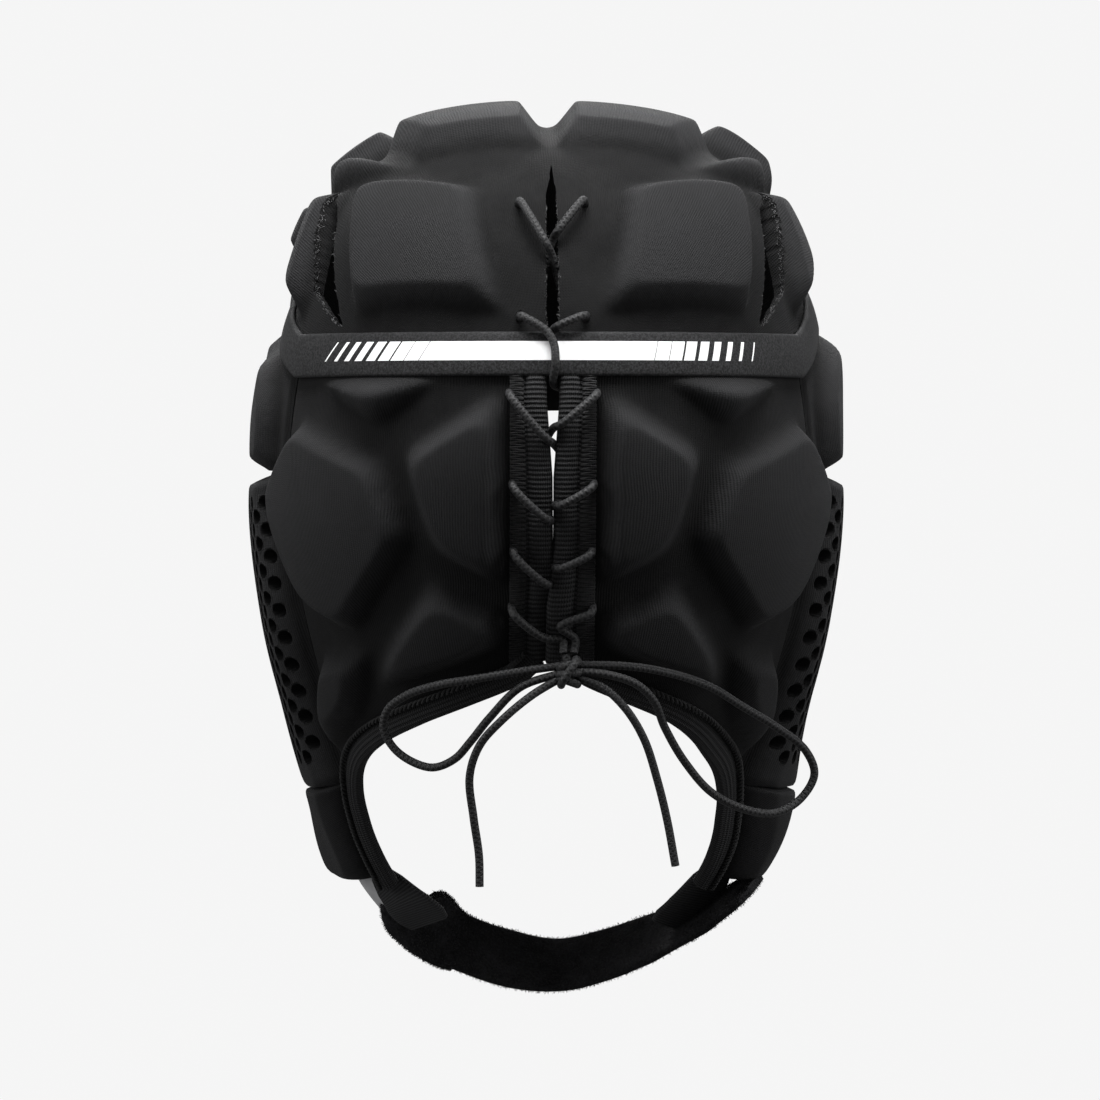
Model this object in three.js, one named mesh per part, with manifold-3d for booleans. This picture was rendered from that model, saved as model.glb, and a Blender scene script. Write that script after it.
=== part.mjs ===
// Rugby scrum cap: a padded head guard, laced at the back, with a strap under the chin.
// Millimetres. +Z is up, +Y is the way the wearer faces, +X is the wearer's right.
// The origin is the inside of the crown, where the top of the head touches it.
import * as THREE from "three";
import { mergeVertices } from "three/addons/utils/BufferGeometryUtils.js";
import Module from "manifold-3d";

const wasm = await Module();
wasm.setup();

// Head hollow
const headHalfWidth = 77.5;
const headHalfLength = 98.5;
const headDrop = 233;
const headRoundness = 2.2;

// Padded cloth
const clothWall = 2.8;
const crownPadRise = 7.4;
const backPadRise = 7.6;
const sidePadRise = 7.6;
const earPadRise = 7.8;
const cheekPadRise = 6.4;
const padShoulder = 5.2;
const padCornerCut = 4.5;
const padRoot = 0.42 * clothWall;
const padSideShare = 0.45;
const seamGap = 0.36;
const earHoleWidth = 4.4;
const earHolePitch = 9.8;

// Slit, facings, band and binding
const slitHalfWidth = 1.9;
const slitTopDrop = 10.5;
const facingWidth = 10.2;
const facingWall = 1.3;
const bandHeight = 12.8;
const bandWall = 1.7;
const bandHalfGap = 0.4;
const bandEndAzimuth = 20;
const bindingWidth = 6.4;
const bindingExtraWall = 0.9;

// Lace, bow and straps
const laceDiameter = 2.4;
const laceClearance = 0.35;
const laceSides = 6;
const bowSides = 8;
const knotHalfWidth = 3.4;
const knotHalfHeight = 4.9;
const strapWidth = 20;
const strapWall = 2.2;
const tabWidth = 18;
const tabWall = 1.8;
const keeperWire = 2.2;
const keeperHalfLength = 10.5;
const keeperHalfWidth = 4.6;
const keeperCorners = 12;
const keeperSides = 6;

// Head sections, from the top of the head down: how far down, and the reach to the side,
// the front and the back, as shares of the head's drop, half width and half length.
const headSections = [
  { drop: 0, side: 0, front: 0, back: 0 },
  { drop: 0.015, side: 0.44, front: 0.4, back: 0.41 },
  { drop: 0.055, side: 0.7, front: 0.645, back: 0.68 },
  { drop: 0.13, side: 0.86, front: 0.825, back: 0.855 },
  { drop: 0.24, side: 0.954, front: 0.955, back: 0.97 },
  { drop: 0.36, side: 0.997, front: 1.0, back: 1.01 },
  { drop: 0.48, side: 0.995, front: 0.97, back: 0.965 },
  { drop: 0.6, side: 0.952, front: 0.915, back: 0.855 },
  { drop: 0.71, side: 0.872, front: 0.87, back: 0.7 },
  { drop: 0.815, side: 0.787, front: 0.8, back: 0.55 },
  { drop: 0.89, side: 0.742, front: 0.79, back: 0.345 },
  { drop: 0.94, side: 0.671, front: 0.81, back: 0.165 },
  { drop: 1.0, side: 0.555, front: 0.8, back: -0.07 },
];

// Lower edge of the crown on the right half: azimuth in degrees from the ear to the
// forehead (90) and to the back (-90), drop as a share of the head's drop.
const crownEdge = [
  { azimuth: -90, drop: 0.2725 },
  { azimuth: -32, drop: 0.2725 },
  { azimuth: -15, drop: 0.24 },
  { azimuth: 0, drop: 0.208 },
  { azimuth: 17, drop: 0.192 },
  { azimuth: 30, drop: 0.225 },
  { azimuth: 38, drop: 0.29 },
  { azimuth: 44, drop: 0.337 },
  { azimuth: 90, drop: 0.341 },
];

// Seam between the back panel and the pieces round the ear
const sideSeam = [
  { drop: 0.27, azimuth: -30 },
  { drop: 0.45, azimuth: -22.5 },
  { drop: 0.63, azimuth: -26 },
  { drop: 0.76, azimuth: -27 },
  { drop: 0.84, azimuth: -30 },
];

// Front edge, round the face
const faceEdge = [
  { drop: 0.2, azimuth: 44 },
  { drop: 0.34, azimuth: 44 },
  { drop: 0.42, azimuth: 37 },
  { drop: 0.52, azimuth: 31 },
  { drop: 0.65, azimuth: 27 },
  { drop: 0.78, azimuth: 22 },
  { drop: 0.86, azimuth: 17 },
  { drop: 0.94, azimuth: 4 },
];

// Neckline from the back centre to the end of the cheek
const neckline = [
  { azimuth: -88.6, drop: 0.66 },
  { azimuth: -84, drop: 0.683 },
  { azimuth: -72.7, drop: 0.711 },
  { azimuth: -60.6, drop: 0.736 },
  { azimuth: -48.3, drop: 0.761 },
  { azimuth: -38.5, drop: 0.788 },
  { azimuth: -32.5, drop: 0.824 },
  { azimuth: -31.6, drop: 0.863 },
  { azimuth: -32.6, drop: 0.9 },
  { azimuth: -34.5, drop: 0.937 },
];

// Where the column of pieces round the ear is parted, as shares of the head's drop
const sideTop = 0.17;
const earTop = 0.421;
const earBottom = 0.817;
const cheekBottom = 0.931;

// Raised pads, right half. Corners are pairs in the view that shows the pad best, as
// shares of the head's half width (x), half length (y) and drop (z, down).
const crownPads = [
  { view: "top", corners: [[0.07, -0.57], [0.46, -0.54], [0.6, -0.06], [0.07, -0.03]] },
  { view: "top", corners: [[0.07, 0.04], [0.6, 0.05], [0.54, 0.5], [0.07, 0.56]] },
  { view: "top", corners: [[0.56, -0.5], [0.75, -0.37], [0.86, -0.04], [0.68, -0.04]] },
  { view: "top", corners: [[0.68, 0.04], [0.86, 0.04], [0.76, 0.4], [0.62, 0.44]] },
  { view: "rear", corners: [[0.25, 0.062], [0.73, 0.058], [0.765, 0.228], [0.175, 0.228]] },
  { view: "side", corners: [[-0.35, 0.06], [-0.05, 0.07], [-0.05, 0.16], [-0.24, 0.2], [-0.42, 0.235], [-0.46, 0.2]] },
  { view: "side", corners: [[0.02, 0.07], [0.36, 0.08], [0.4, 0.15], [0.3, 0.158], [0.02, 0.158]] },
  { view: "side", corners: [[0.45, 0.1], [0.6, 0.13], [0.7, 0.29], [0.62, 0.275], [0.47, 0.185]] },
  { view: "front", corners: [[0.05, 0.1], [0.4, 0.105], [0.43, 0.318], [0.05, 0.318]] },
  { view: "front", corners: [[0.5, 0.11], [0.64, 0.13], [0.67, 0.318], [0.52, 0.318]] },
];
const backPads = [
  { view: "rear", corners: [[0.4, 0.304], [0.92, 0.304], [0.67, 0.372]] },
  { view: "rear", corners: [[0.166, 0.34], [0.22, 0.322], [0.585, 0.4], [0.465, 0.528], [0.166, 0.575]] },
  {
    view: "rear",
    corners: [[0.64, 0.405], [0.95, 0.35], [1.06, 0.45], [0.915, 0.6], [0.745, 0.632], [0.52, 0.5145]],
  },
  { view: "rear", corners: [[0.166, 0.6], [0.464, 0.56], [0.665, 0.65], [0.665, 0.7], [0.166, 0.645]] },
  { view: "rear", corners: [[0.7, 0.65], [0.88, 0.645], [0.885, 0.72], [0.84, 0.785], [0.7, 0.72]] },
];
const sidePads = [
  { view: "side", corners: [[-0.29, 0.335], [-0.17, 0.285], [0.28, 0.225], [0.28, 0.41], [-0.2, 0.41]] },
  { view: "side", corners: [[0.34, 0.235], [0.46, 0.275], [0.56, 0.35], [0.52, 0.41], [0.34, 0.41]] },
];
// Vent beside each upper back pad: a cut that opens into a triangle above the band
const ventCorners = [[0.742, 0.062], [0.885, 0.2], [0.8, 0.243], [0.778, 0.243]];

// Lace holes from the top: reach to the side, drop, and the drops at which the strands
// from the right and the left hole go down the slit. The second left one crosses the band.
const laceHoles = [
  { reach: 0.118, drop: 0.098, meetRight: 0.144, meetLeft: 0.162 },
  { reach: 0.118, drop: 0.229, meetRight: 0.236, meetLeft: 0.318 },
  { reach: 0.158, drop: 0.327, meetRight: 0.37, meetLeft: 0.388 },
  { reach: 0.146, drop: 0.435, meetRight: 0.463, meetLeft: 0.481 },
  { reach: 0.142, drop: 0.515, meetRight: 0.537, meetLeft: 0.558 },
  { reach: 0.146, drop: 0.585, meetRight: 0.607, meetLeft: 0.622 },
];

// Bow at the nape, points in mm. The knot sits to the right of the slit.
const knotCentre = [4.8, -87.5, -156.5];
const bowLoopRight = [
  [8.7, -87.5, -153.8],
  [22, -88, -155],
  [34, -83, -157],
  [46, -74, -161],
  [57, -66, -167],
  [68, -58, -173],
  [76, -51, -180],
  [79, -48, -187],
  [75, -48, -194],
  [67, -52, -198],
  [57, -57, -197],
  [47, -62, -192],
  [39, -68, -183],
  [33, -76, -173],
  [29.5, -83, -165],
  [24, -88, -160],
  [16, -89.5, -157.2],
  [8.7, -87.5, -156.5],
];
const bowLoopLeft = [
  [0.9, -87.5, -153.8],
  [-9, -88.5, -156.5],
  [-21, -87, -158.5],
  [-33, -83, -160.5],
  [-42, -77, -163.5],
  [-47.5, -72, -168],
  [-48.5, -69.5, -173.5],
  [-45.5, -69, -179],
  [-40, -70.5, -183],
  [-34, -73, -184.5],
  [-28, -75.5, -182],
  [-23.5, -78.5, -177],
  [-18, -83, -170],
  [-10, -87.5, -162],
  [0.9, -87.5, -156.5],
];
const laceEndRight = [
  [8.7, -87.5, -159.2],
  [15, -89, -162],
  [21, -89, -167],
  [26.5, -86, -176],
  [31, -82, -188],
  [34, -79, -200],
  [36.5, -77, -213],
];
const laceEndLeft = [
  [0.9, -87.5, -159.2],
  [-7, -90.5, -164],
  [-15, -91, -171],
  [-21, -88, -178],
  [-23.8, -84, -187],
  [-22.6, -80.5, -199],
  [-21, -78, -210],
  [-20.8, -77, -219],
];

// Straps: centre line in mm, and the way across the width, from the rear edge forwards
const tabRows = [
  { at: [48.5, 14.5, -218.8], across: [0.22, 0.95, -0.2] },
  { at: [44.5, 17, -222.6], across: [0.26, 0.92, -0.3] },
  { at: [38, 20.5, -227.8], across: [0.3, 0.88, -0.36] },
  { at: [30.5, 24.5, -232.6], across: [0.31, 0.86, -0.4] },
];
const chinRows = [
  { at: [-48.5, 12, -229.5], across: [-0.3, 0.86, -0.4] },
  { at: [-41, 19, -235.3], across: [-0.3, 0.86, -0.36] },
  { at: [-31, 27, -239.5], across: [-0.26, 0.9, -0.1] },
  { at: [-17, 37, -243], across: [-0.12, 0.8, 0.45] },
  { at: [0, 42, -244.5], across: [0, 0.62, 0.78] },
  { at: [17, 37, -243], across: [0.12, 0.8, 0.45] },
  { at: [31, 27, -239.5], across: [0.26, 0.9, -0.1] },
  { at: [42, 19, -234], across: [0.3, 0.86, -0.36] },
  { at: [52, 11, -227], across: [0.3, 0.86, -0.4] },
  { at: [62, 4, -219], across: [0.3, 0.86, -0.4] },
];
const keeperCentre = [-53, 14.5, -223.4];
const keeperTilt = 0.75;

const degree = Math.PI / 180;
const lerp = THREE.MathUtils.lerp;

// Value of a table between its rows, for a key that rises down the table
function between(table, key, value, at) {
  const last = table.length - 1;
  if (at <= table[0][key]) return table[0][value];
  for (let i = 0; i < last; i++) {
    const a = table[i];
    const b = table[i + 1];
    if (at <= b[key]) {
      const share = (at - a[key]) / (b[key] - a[key]);
      return lerp(a[value], b[value], share);
    }
  }
  return table[last][value];
}

// Root of a rising function by halving
function solve(low, high, rises) {
  for (let i = 0; i < 34; i++) {
    const middle = (low + high) / 2;
    if (rises(middle) < 0) low = middle;
    else high = middle;
  }
  return (low + high) / 2;
}

// Head section at a level, which is the row number in the table, with smooth steps between
function headSection(level) {
  const last = headSections.length - 1;
  const i = Math.min(Math.max(Math.floor(level), 0), last - 1);
  const f = level - i;
  const row = (n) => {
    if (n < 0) {
      const r = headSections[-n];
      return { drop: r.drop, side: -r.side, front: -r.front, back: -r.back };
    }
    return headSections[Math.min(n, last)];
  };
  const rows = [row(i - 1), row(i), row(i + 1), row(i + 2)];
  const smooth = (key) => {
    const [a, b, c, d] = rows.map((r) => r[key]);
    const bend = 2 * a - 5 * b + 4 * c - d + f * (3 * (b - c) + d - a);
    return b + 0.5 * f * (c - a + f * bend);
  };
  const front = smooth("front") * headHalfLength;
  const back = smooth("back") * headHalfLength;
  return {
    z: -smooth("drop") * headDrop,
    halfWidth: smooth("side") * headHalfWidth,
    halfLength: (front + back) / 2,
    middle: (front - back) / 2,
  };
}

const lastLevel = headSections.length - 1;
const levelAt = (z) => solve(0, lastLevel, (level) => z - headSection(level).z);

function headPoint(level, azimuth) {
  const s = headSection(Math.max(level, 1e-6));
  const x = Math.abs(Math.cos(azimuth) / s.halfWidth);
  const y = Math.abs(Math.sin(azimuth) / s.halfLength);
  const radius = (x ** headRoundness + y ** headRoundness) ** (-1 / headRoundness);
  return new THREE.Vector3(
    radius * Math.cos(azimuth),
    s.middle + radius * Math.sin(azimuth),
    s.z,
  );
}

function headNormal(level, azimuth) {
  const step = 0.01;
  if (level < step) return new THREE.Vector3(0, 0, 1);
  const at = Math.max(level, 4 * step);
  const down = headPoint(at + step, azimuth).sub(headPoint(at - step, azimuth));
  const round = headPoint(at, azimuth + step).sub(headPoint(at, azimuth - step));
  return down.cross(round).normalize();
}

// Point at a height above the head's surface
function onHead(level, azimuth, height) {
  return headPoint(level, azimuth).addScaledVector(headNormal(level, azimuth), height);
}

// Place on the head that is seen at (across, z) from behind, in front or the side, or at
// (across, y) from above, when it stands at a height above the surface
function seenFrom(view, across, along, height) {
  let [p, q] = [across, along];
  let place;
  const reach = (share) => Math.max(1 - Math.abs(share) ** headRoundness, 1e-4) ** (1 / headRoundness);
  for (let i = 0; i < 8; i++) {
    if (view === "top") {
      const level = solve(0.02, 5, (at) => {
        const s = headSection(at);
        const share = Math.abs(p / s.halfWidth) ** headRoundness;
        return 1 - share - Math.abs((q - s.middle) / s.halfLength) ** headRoundness;
      });
      place = { level, azimuth: Math.atan2(q - headSection(level).middle, p) };
    } else {
      const level = levelAt(Math.min(q, -0.3));
      const s = headSection(level);
      if (view === "side") {
        const y = p - s.middle;
        place = { level, azimuth: Math.atan2(y, s.halfWidth * reach(y / s.halfLength)) };
      } else {
        const y = s.halfLength * reach(p / s.halfWidth);
        place = { level, azimuth: Math.atan2(view === "rear" ? -y : y, p) };
      }
    }
    const seen = onHead(place.level, place.azimuth, height);
    p += across - (view === "side" ? seen.y : seen.x);
    q += along - (view === "top" ? seen.y : seen.z);
  }
  return place;
}

// Closed solid from points and faces. Faces that have closed up are left out.
function solid(points, faces) {
  const raw = new THREE.BufferGeometry().setFromPoints(points);
  raw.setIndex(faces.flat());
  return closed(raw);
}

function closed(geometry) {
  const bare = geometry.clone();
  bare.deleteAttribute("normal");
  bare.deleteAttribute("uv");
  const merged = mergeVertices(bare, 1e-4);
  const at = merged.attributes.position;
  const index = merged.index.array;
  const kept = [];
  let volume = 0;
  const corner = (n) => new THREE.Vector3().fromBufferAttribute(at, n);
  for (let i = 0; i < index.length; i += 3) {
    const [a, b, c] = index.slice(i, i + 3);
    if (a === b || b === c || c === a) continue;
    kept.push([a, b, c]);
    volume += corner(a).dot(corner(b).cross(corner(c)));
  }
  const turned = volume < 0 ? kept.map(([a, b, c]) => [a, c, b]) : kept;
  return new wasm.Manifold(
    new wasm.Mesh({
      numProp: 3,
      vertProperties: new Float32Array(at.array),
      triVerts: new Uint32Array(turned.flat()),
    }),
  );
}

// Wall over a patch of the head. place(u, v) gives level and azimuth, low and high are
// heights or functions of (u, v). A round patch closes on itself and starts at a point.
function wall({ columns, rows, place, low, high, round = false }) {
  const us = Array.isArray(columns) ? columns : Array.from({ length: columns + 1 }, (_, i) => i / columns);
  const vs = Array.isArray(rows) ? rows : Array.from({ length: rows + 1 }, (_, j) => j / rows);
  const height = (rule, u, v) => (typeof rule === "function" ? rule(u, v) : rule);
  const points = [];
  for (const rule of [low, high]) {
    for (const v of vs) {
      for (const u of us) {
        const { level, azimuth } = place(u, v);
        points.push(onHead(level, azimuth, height(rule, u, v)));
      }
    }
  }
  const [nu, nv] = [us.length, vs.length];
  const at = (side, i, j) => (side * nv + j) * nu + (round ? i % (nu - 1) : i);
  const faces = [];
  const quad = (a, b, c, d) => faces.push([a, b, c], [a, c, d]);
  for (let j = 0; j < nv - 1; j++) {
    for (let i = 0; i < nu - 1; i++) {
      quad(at(1, i, j), at(1, i, j + 1), at(1, i + 1, j + 1), at(1, i + 1, j));
      quad(at(0, i, j), at(0, i + 1, j), at(0, i + 1, j + 1), at(0, i, j + 1));
    }
  }
  for (let i = 0; i < nu - 1; i++) {
    if (!round) quad(at(0, i, 0), at(1, i, 0), at(1, i + 1, 0), at(0, i + 1, 0));
    quad(at(1, i, nv - 1), at(0, i, nv - 1), at(0, i + 1, nv - 1), at(1, i + 1, nv - 1));
  }
  for (let j = 0; j < nv - 1 && !round; j++) {
    quad(at(1, 0, j), at(0, 0, j), at(0, 0, j + 1), at(1, 0, j + 1));
    quad(at(0, nu - 1, j), at(1, nu - 1, j), at(1, nu - 1, j + 1), at(0, nu - 1, j + 1));
  }
  return solid(points, faces);
}

// Flat chart that touches the head in the middle of some corners
function chartOf(view, corners, height) {
  const along = view === "top" ? headHalfLength : -headDrop;
  const across = view === "side" ? headHalfLength : headHalfWidth;
  const places = corners.map(([p, q]) => seenFrom(view, p * across, q * along, height));
  const feet = places.map(({ level, azimuth }) => headPoint(level, azimuth));
  const centre = new THREE.Vector3();
  const out = new THREE.Vector3();
  feet.forEach((foot) => centre.addScaledVector(foot, 1 / feet.length));
  places.forEach(({ level, azimuth }) => out.add(headNormal(level, azimuth)));
  out.normalize();
  const side = Math.abs(out.x) > 0.8 ? new THREE.Vector3(0, 1, 0) : new THREE.Vector3(1, 0, 0);
  const right = side.addScaledVector(out, -side.dot(out)).normalize();
  const up = out.clone().cross(right);
  const flat = feet.map((foot) => {
    const from = foot.clone().sub(centre);
    return new THREE.Vector2(from.dot(right), from.dot(up));
  });
  return { centre, out, right, up, flat };
}

// Point of a chart, carried to a height above the head
const chartReach = 30;
function fromChart({ centre, out, right, up }, p, height) {
  const start = centre.clone().addScaledVector(right, p.x).addScaledVector(up, p.y);
  const outside = (shift) => {
    const at = start.clone().addScaledVector(out, shift);
    if (at.z > -0.01) return 1;
    const s = headSection(levelAt(at.z));
    const x = Math.abs(at.x / s.halfWidth) ** headRoundness;
    return x + Math.abs((at.y - s.middle) / s.halfLength) ** headRoundness - 1;
  };
  const foot = start.addScaledVector(out, solve(-chartReach, chartReach, outside));
  const level = levelAt(foot.z);
  const azimuth = Math.atan2(foot.y - headSection(level).middle, foot.x);
  return foot.addScaledVector(headNormal(level, azimuth), height);
}

// Outline with each corner cut off
function roundedOutline(corners, cut) {
  const outline = [];
  corners.forEach((corner, i) => {
    const before = corners.at(i - 1);
    const after = corners[(i + 1) % corners.length];
    const into = corner.clone().lerp(before, Math.min(cut / corner.distanceTo(before), 0.45));
    const outOf = corner.clone().lerp(after, Math.min(cut / corner.distanceTo(after), 0.45));
    outline.push(into, outOf);
  });
  return outline;
}

// Outline moved inwards by a distance
function inset(outline, distance) {
  const turn = Math.sign(THREE.ShapeUtils.area(outline));
  return outline.map((p, i) => {
    const a = p.clone().sub(outline.at(i - 1)).normalize();
    const b = outline[(i + 1) % outline.length].clone().sub(p).normalize();
    const inwards = new THREE.Vector2(-(a.y + b.y), a.x + b.x).multiplyScalar(turn);
    return p.clone().addScaledVector(inwards, distance / (1 + a.dot(b)));
  });
}

// Raised pad that grows out of the cloth wall
function pad({ view, corners }, rise) {
  const chart = chartOf(view, corners, clothWall + rise / 2);
  const foot = roundedOutline(chart.flat, padCornerCut);
  const ring = (distance, height) => inset(foot, distance).map((p) => fromChart(chart, p, height));
  const middle = foot.reduce((sum, p) => sum.add(p), new THREE.Vector2()).divideScalar(foot.length);
  const top = clothWall + rise;
  const rings = [
    [fromChart(chart, middle, padRoot)],
    ring(0, padRoot),
    ring(0, clothWall + padSideShare * rise),
    ring(padShoulder, top),
    [fromChart(chart, middle, top)],
  ];
  return lofted(rings);
}

// Solid through rings of points: the first and last ring are closed, or are one point
function lofted(rings) {
  const points = rings.flat();
  const starts = [];
  rings.reduce((sum, r) => (starts.push(sum), sum + r.length), 0);
  const faces = [];
  for (let k = 0; k < rings.length - 1; k++) {
    const [a, b] = [starts[k], starts[k + 1]];
    const n = Math.max(rings[k].length, rings[k + 1].length);
    for (let i = 0; i < n; i++) {
      const j = (i + 1) % n;
      if (rings[k].length === 1) faces.push([a, b + i, b + j]);
      else if (rings[k + 1].length === 1) faces.push([a + i, b, a + j]);
      else faces.push([a + i, b + i, b + j], [a + i, b + j, a + j]);
    }
  }
  return solid(points, faces);
}

const middleOf = (ring) => [ring.reduce((sum, p) => sum.add(p), new THREE.Vector3()).divideScalar(ring.length)];

// Straight cutter through the wall, from corners in a view
const cutterDepth = 12;
const cutterHeight = 24;
function cutter(view, corners) {
  const chart = chartOf(view, corners, clothWall);
  const level = (shift) => chart.flat.map((p) =>
    chart.centre.clone()
      .addScaledVector(chart.right, p.x)
      .addScaledVector(chart.up, p.y)
      .addScaledVector(chart.out, shift));
  const [below, above] = [level(-cutterDepth), level(cutterHeight)];
  return lofted([middleOf(below), below, above, middleOf(above)]);
}

const mirrorX = (shape) => shape.mirror([1, 0, 0]);
const join = (shapes) => shapes.reduce((sum, shape) => sum.add(shape));

// Azimuth of the slit's edge at a drop, and of a place beside it
function besideSlit(z, across) {
  const level = levelAt(z);
  const { halfLength } = headSection(level);
  return { level, azimuth: -Math.PI / 2 + Math.asin(across / halfLength) };
}

const gapAngle = (z, gap) => gap / headSection(levelAt(z)).halfWidth;
const crownEdgeZ = (azimuth) => {
  const turned = Math.abs(((azimuth / degree + 90) % 360) - 180);
  return -headDrop * between(crownEdge, "azimuth", "drop", 90 - turned);
};
const seamAzimuth = (z) => degree * between(sideSeam, "drop", "azimuth", -z / headDrop);
const faceAzimuth = (z) => degree * between(faceEdge, "drop", "azimuth", -z / headDrop);

// Neckline as a smooth curve of azimuth and z, and the line that runs inside it
const neckCurve = new THREE.CatmullRomCurve3(
  neckline.map(({ azimuth, drop }) => new THREE.Vector3(azimuth * degree, -drop * headDrop, 0)),
);
function neckEdge(share, inside) {
  const step = 0.004;
  const at = neckCurve.getPoint(share);
  const a = neckCurve.getPoint(Math.max(share - step, 0));
  const b = neckCurve.getPoint(Math.min(share + step, 1));
  const { halfWidth, halfLength } = headSection(levelAt(at.y));
  const radius = (halfWidth + halfLength) / 2;
  const along = new THREE.Vector2((b.x - a.x) * radius, b.y - a.y).normalize();
  return { azimuth: at.x - (along.y * inside) / radius, z: at.y + along.x * inside };
}
const panelInset = bindingWidth + seamGap;
const cornerShare = solve(0.4, 0.95, (share) => {
  const { azimuth, z } = neckEdge(share, panelInset);
  return azimuth - seamAzimuth(z);
});
const cornerZ = neckEdge(cornerShare, panelInset).z;
function rearAzimuth(z) {
  const seam = seamAzimuth(z) + gapAngle(z, seamGap);
  if (z > cornerZ) return seam;
  const share = solve(cornerShare, 1, (at) => z - neckEdge(at, panelInset).z);
  return Math.max(neckEdge(share, panelInset).azimuth, seam);
}

// Binding along the neckline, grown past its inner edge for cutting its neighbours
function bindingWall(low, high, grow = 0) {
  return wall({
    columns: 24,
    rows: 1,
    low,
    high,
    place: (u, v) => {
      const { azimuth, z } = neckEdge(u, lerp(-4 * grow, bindingWidth + grow, v));
      return { level: levelAt(z), azimuth };
    },
  });
}

// Wall over the crown's whole reach, grown past its lower edge for cutting its neighbours
function crownWall(low, high, grow = 0) {
  return wall({
    columns: 24,
    rows: 6,
    round: true,
    low,
    high,
    place: (u, v) => {
      const azimuth = (-90 + 360 * u) * degree;
      const edge = levelAt(crownEdgeZ(azimuth) - grow);
      return { level: v * edge, azimuth };
    },
  });
}

function crown(laceChannels) {
  const rightPads = crownPads.map((row) => pad(row, crownPadRise));
  const slit = closed(
    new THREE.BoxGeometry(2 * slitHalfWidth, headHalfLength, headDrop).translate(
      0,
      -headHalfLength * 1.05,
      -slitTopDrop - headDrop / 2,
    ),
  );
  const vent = cutter("rear", ventCorners);
  const body = join([crownWall(0, clothWall), ...rightPads, ...rightPads.map(mirrorX)]);
  return [slit, vent, mirrorX(vent), ...laceChannels].reduce((sum, cut) => sum.subtract(cut), body);
}

// Wall over the back panel's reach, grown past the seam in front of it. It starts inside
// the crown, which trims it.
const backOverlap = 6;
function backWall(low, high, grow = 0) {
  return wall({
    columns: 6,
    rows: 6,
    low,
    high,
    place: (u, v) => {
      const bottom = neckEdge(u * cornerShare, panelInset);
      const edge = (z) => besideSlit(z, slitHalfWidth).azimuth;
      const seam = (z) => seamAzimuth(z) + gapAngle(z, grow);
      const share = (bottom.azimuth - edge(bottom.z)) / (seamAzimuth(bottom.z) - edge(bottom.z));
      const w = u === 0 ? 0 : THREE.MathUtils.clamp(share, 0, 1);
      const z = lerp(-headDrop * crownEdge[0].drop + backOverlap, bottom.z, v);
      return { level: levelAt(z), azimuth: lerp(edge(z), seam(z), w) };
    },
  });
}

const deepest = -4;
const highest = clothWall + 16;

function backPanel(laceChannels) {
  const padded = join([backWall(0, clothWall), ...backPads.map((row) => pad(row, backPadRise))]);
  const cuts = [crownWall(deepest, highest, seamGap), bindingWall(deepest, highest, seamGap), ...laceChannels];
  return cuts.reduce((sum, cut) => sum.subtract(cut), padded.intersect(backWall(deepest, highest)));
}

// Place in the column round the ear, between two drops
function columnPlace(u, v, topZ, bottomZ) {
  const z = lerp(topZ, bottomZ, v);
  return { level: levelAt(z), azimuth: lerp(rearAzimuth(z), faceAzimuth(z), u) };
}

const columnSteps = [0, 0.05, 0.15, 0.5, 0.85, 0.95, 1];
const besideColumn = () => [crownWall, backWall, bindingWall].map((reach) => reach(deepest, highest, seamGap));
const trimColumn = (shape) => besideColumn().reduce((sum, cut) => sum.subtract(cut), shape);

function sidePanel() {
  const top = -headDrop * sideTop;
  const body = wall({
    columns: columnSteps,
    rows: 4,
    low: 0,
    high: clothWall,
    place: (u, v) => columnPlace(u, v, top, -headDrop * earTop + seamGap / 2),
  });
  return trimColumn(join([body, ...sidePads.map((row) => pad(row, sidePadRise))]));
}

// Height over a padded piece that rises inside its whole edge
function raised(rise) {
  return (u, v) => {
    const from = Math.min(u, v, 1 - u, 1 - v);
    const share = Math.min(from / columnSteps[2], 1);
    return clothWall + rise * (1 - (1 - share) ** 3);
  };
}

function earPanel() {
  const [top, bottom] = [-headDrop * earTop - seamGap / 2, -headDrop * earBottom + seamGap / 2];
  const place = (u, v) => columnPlace(u, v, top, bottom);
  const body = trimColumn(
    wall({ columns: columnSteps, rows: columnSteps, low: 0, high: raised(earPadRise), place }),
  );
  const holes = [];
  const rows = Math.round((top - bottom) / earHolePitch) - 2;
  for (let j = 0; j < rows; j++) {
    const v = (j + 1.5) / (rows + 2);
    const z = lerp(top, bottom, v);
    const span = (faceAzimuth(z) - rearAzimuth(z)) * headSection(levelAt(z)).halfWidth;
    const inRow = Math.floor(span / earHolePitch) - 2;
    for (let i = 0; i < inRow; i++) {
      const u = (i + (j % 2 ? 1.75 : 1.25)) / (inRow + 2);
      holes.push(earHole(place(u, v)));
    }
  }
  return holes.reduce((sum, hole) => sum.subtract(hole), body);
}

function earHole({ level, azimuth }) {
  const out = headNormal(level, azimuth);
  const hole = new THREE.CylinderGeometry(earHoleWidth / 2, earHoleWidth / 2, 34, 6);
  hole.applyQuaternion(new THREE.Quaternion().setFromUnitVectors(new THREE.Vector3(0, 1, 0), out));
  const { x, y, z } = headPoint(level, azimuth);
  return closed(hole.translate(x, y, z));
}

function cheekPanel() {
  const [top, bottom] = [-headDrop * earBottom - seamGap / 2, -headDrop * cheekBottom];
  const body = wall({
    columns: columnSteps,
    rows: [0, 0.15, 0.5, 0.85, 1],
    low: 0,
    high: raised(cheekPadRise),
    place: (u, v) => columnPlace(u, v, top, bottom),
  });
  return trimColumn(body);
}

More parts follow.
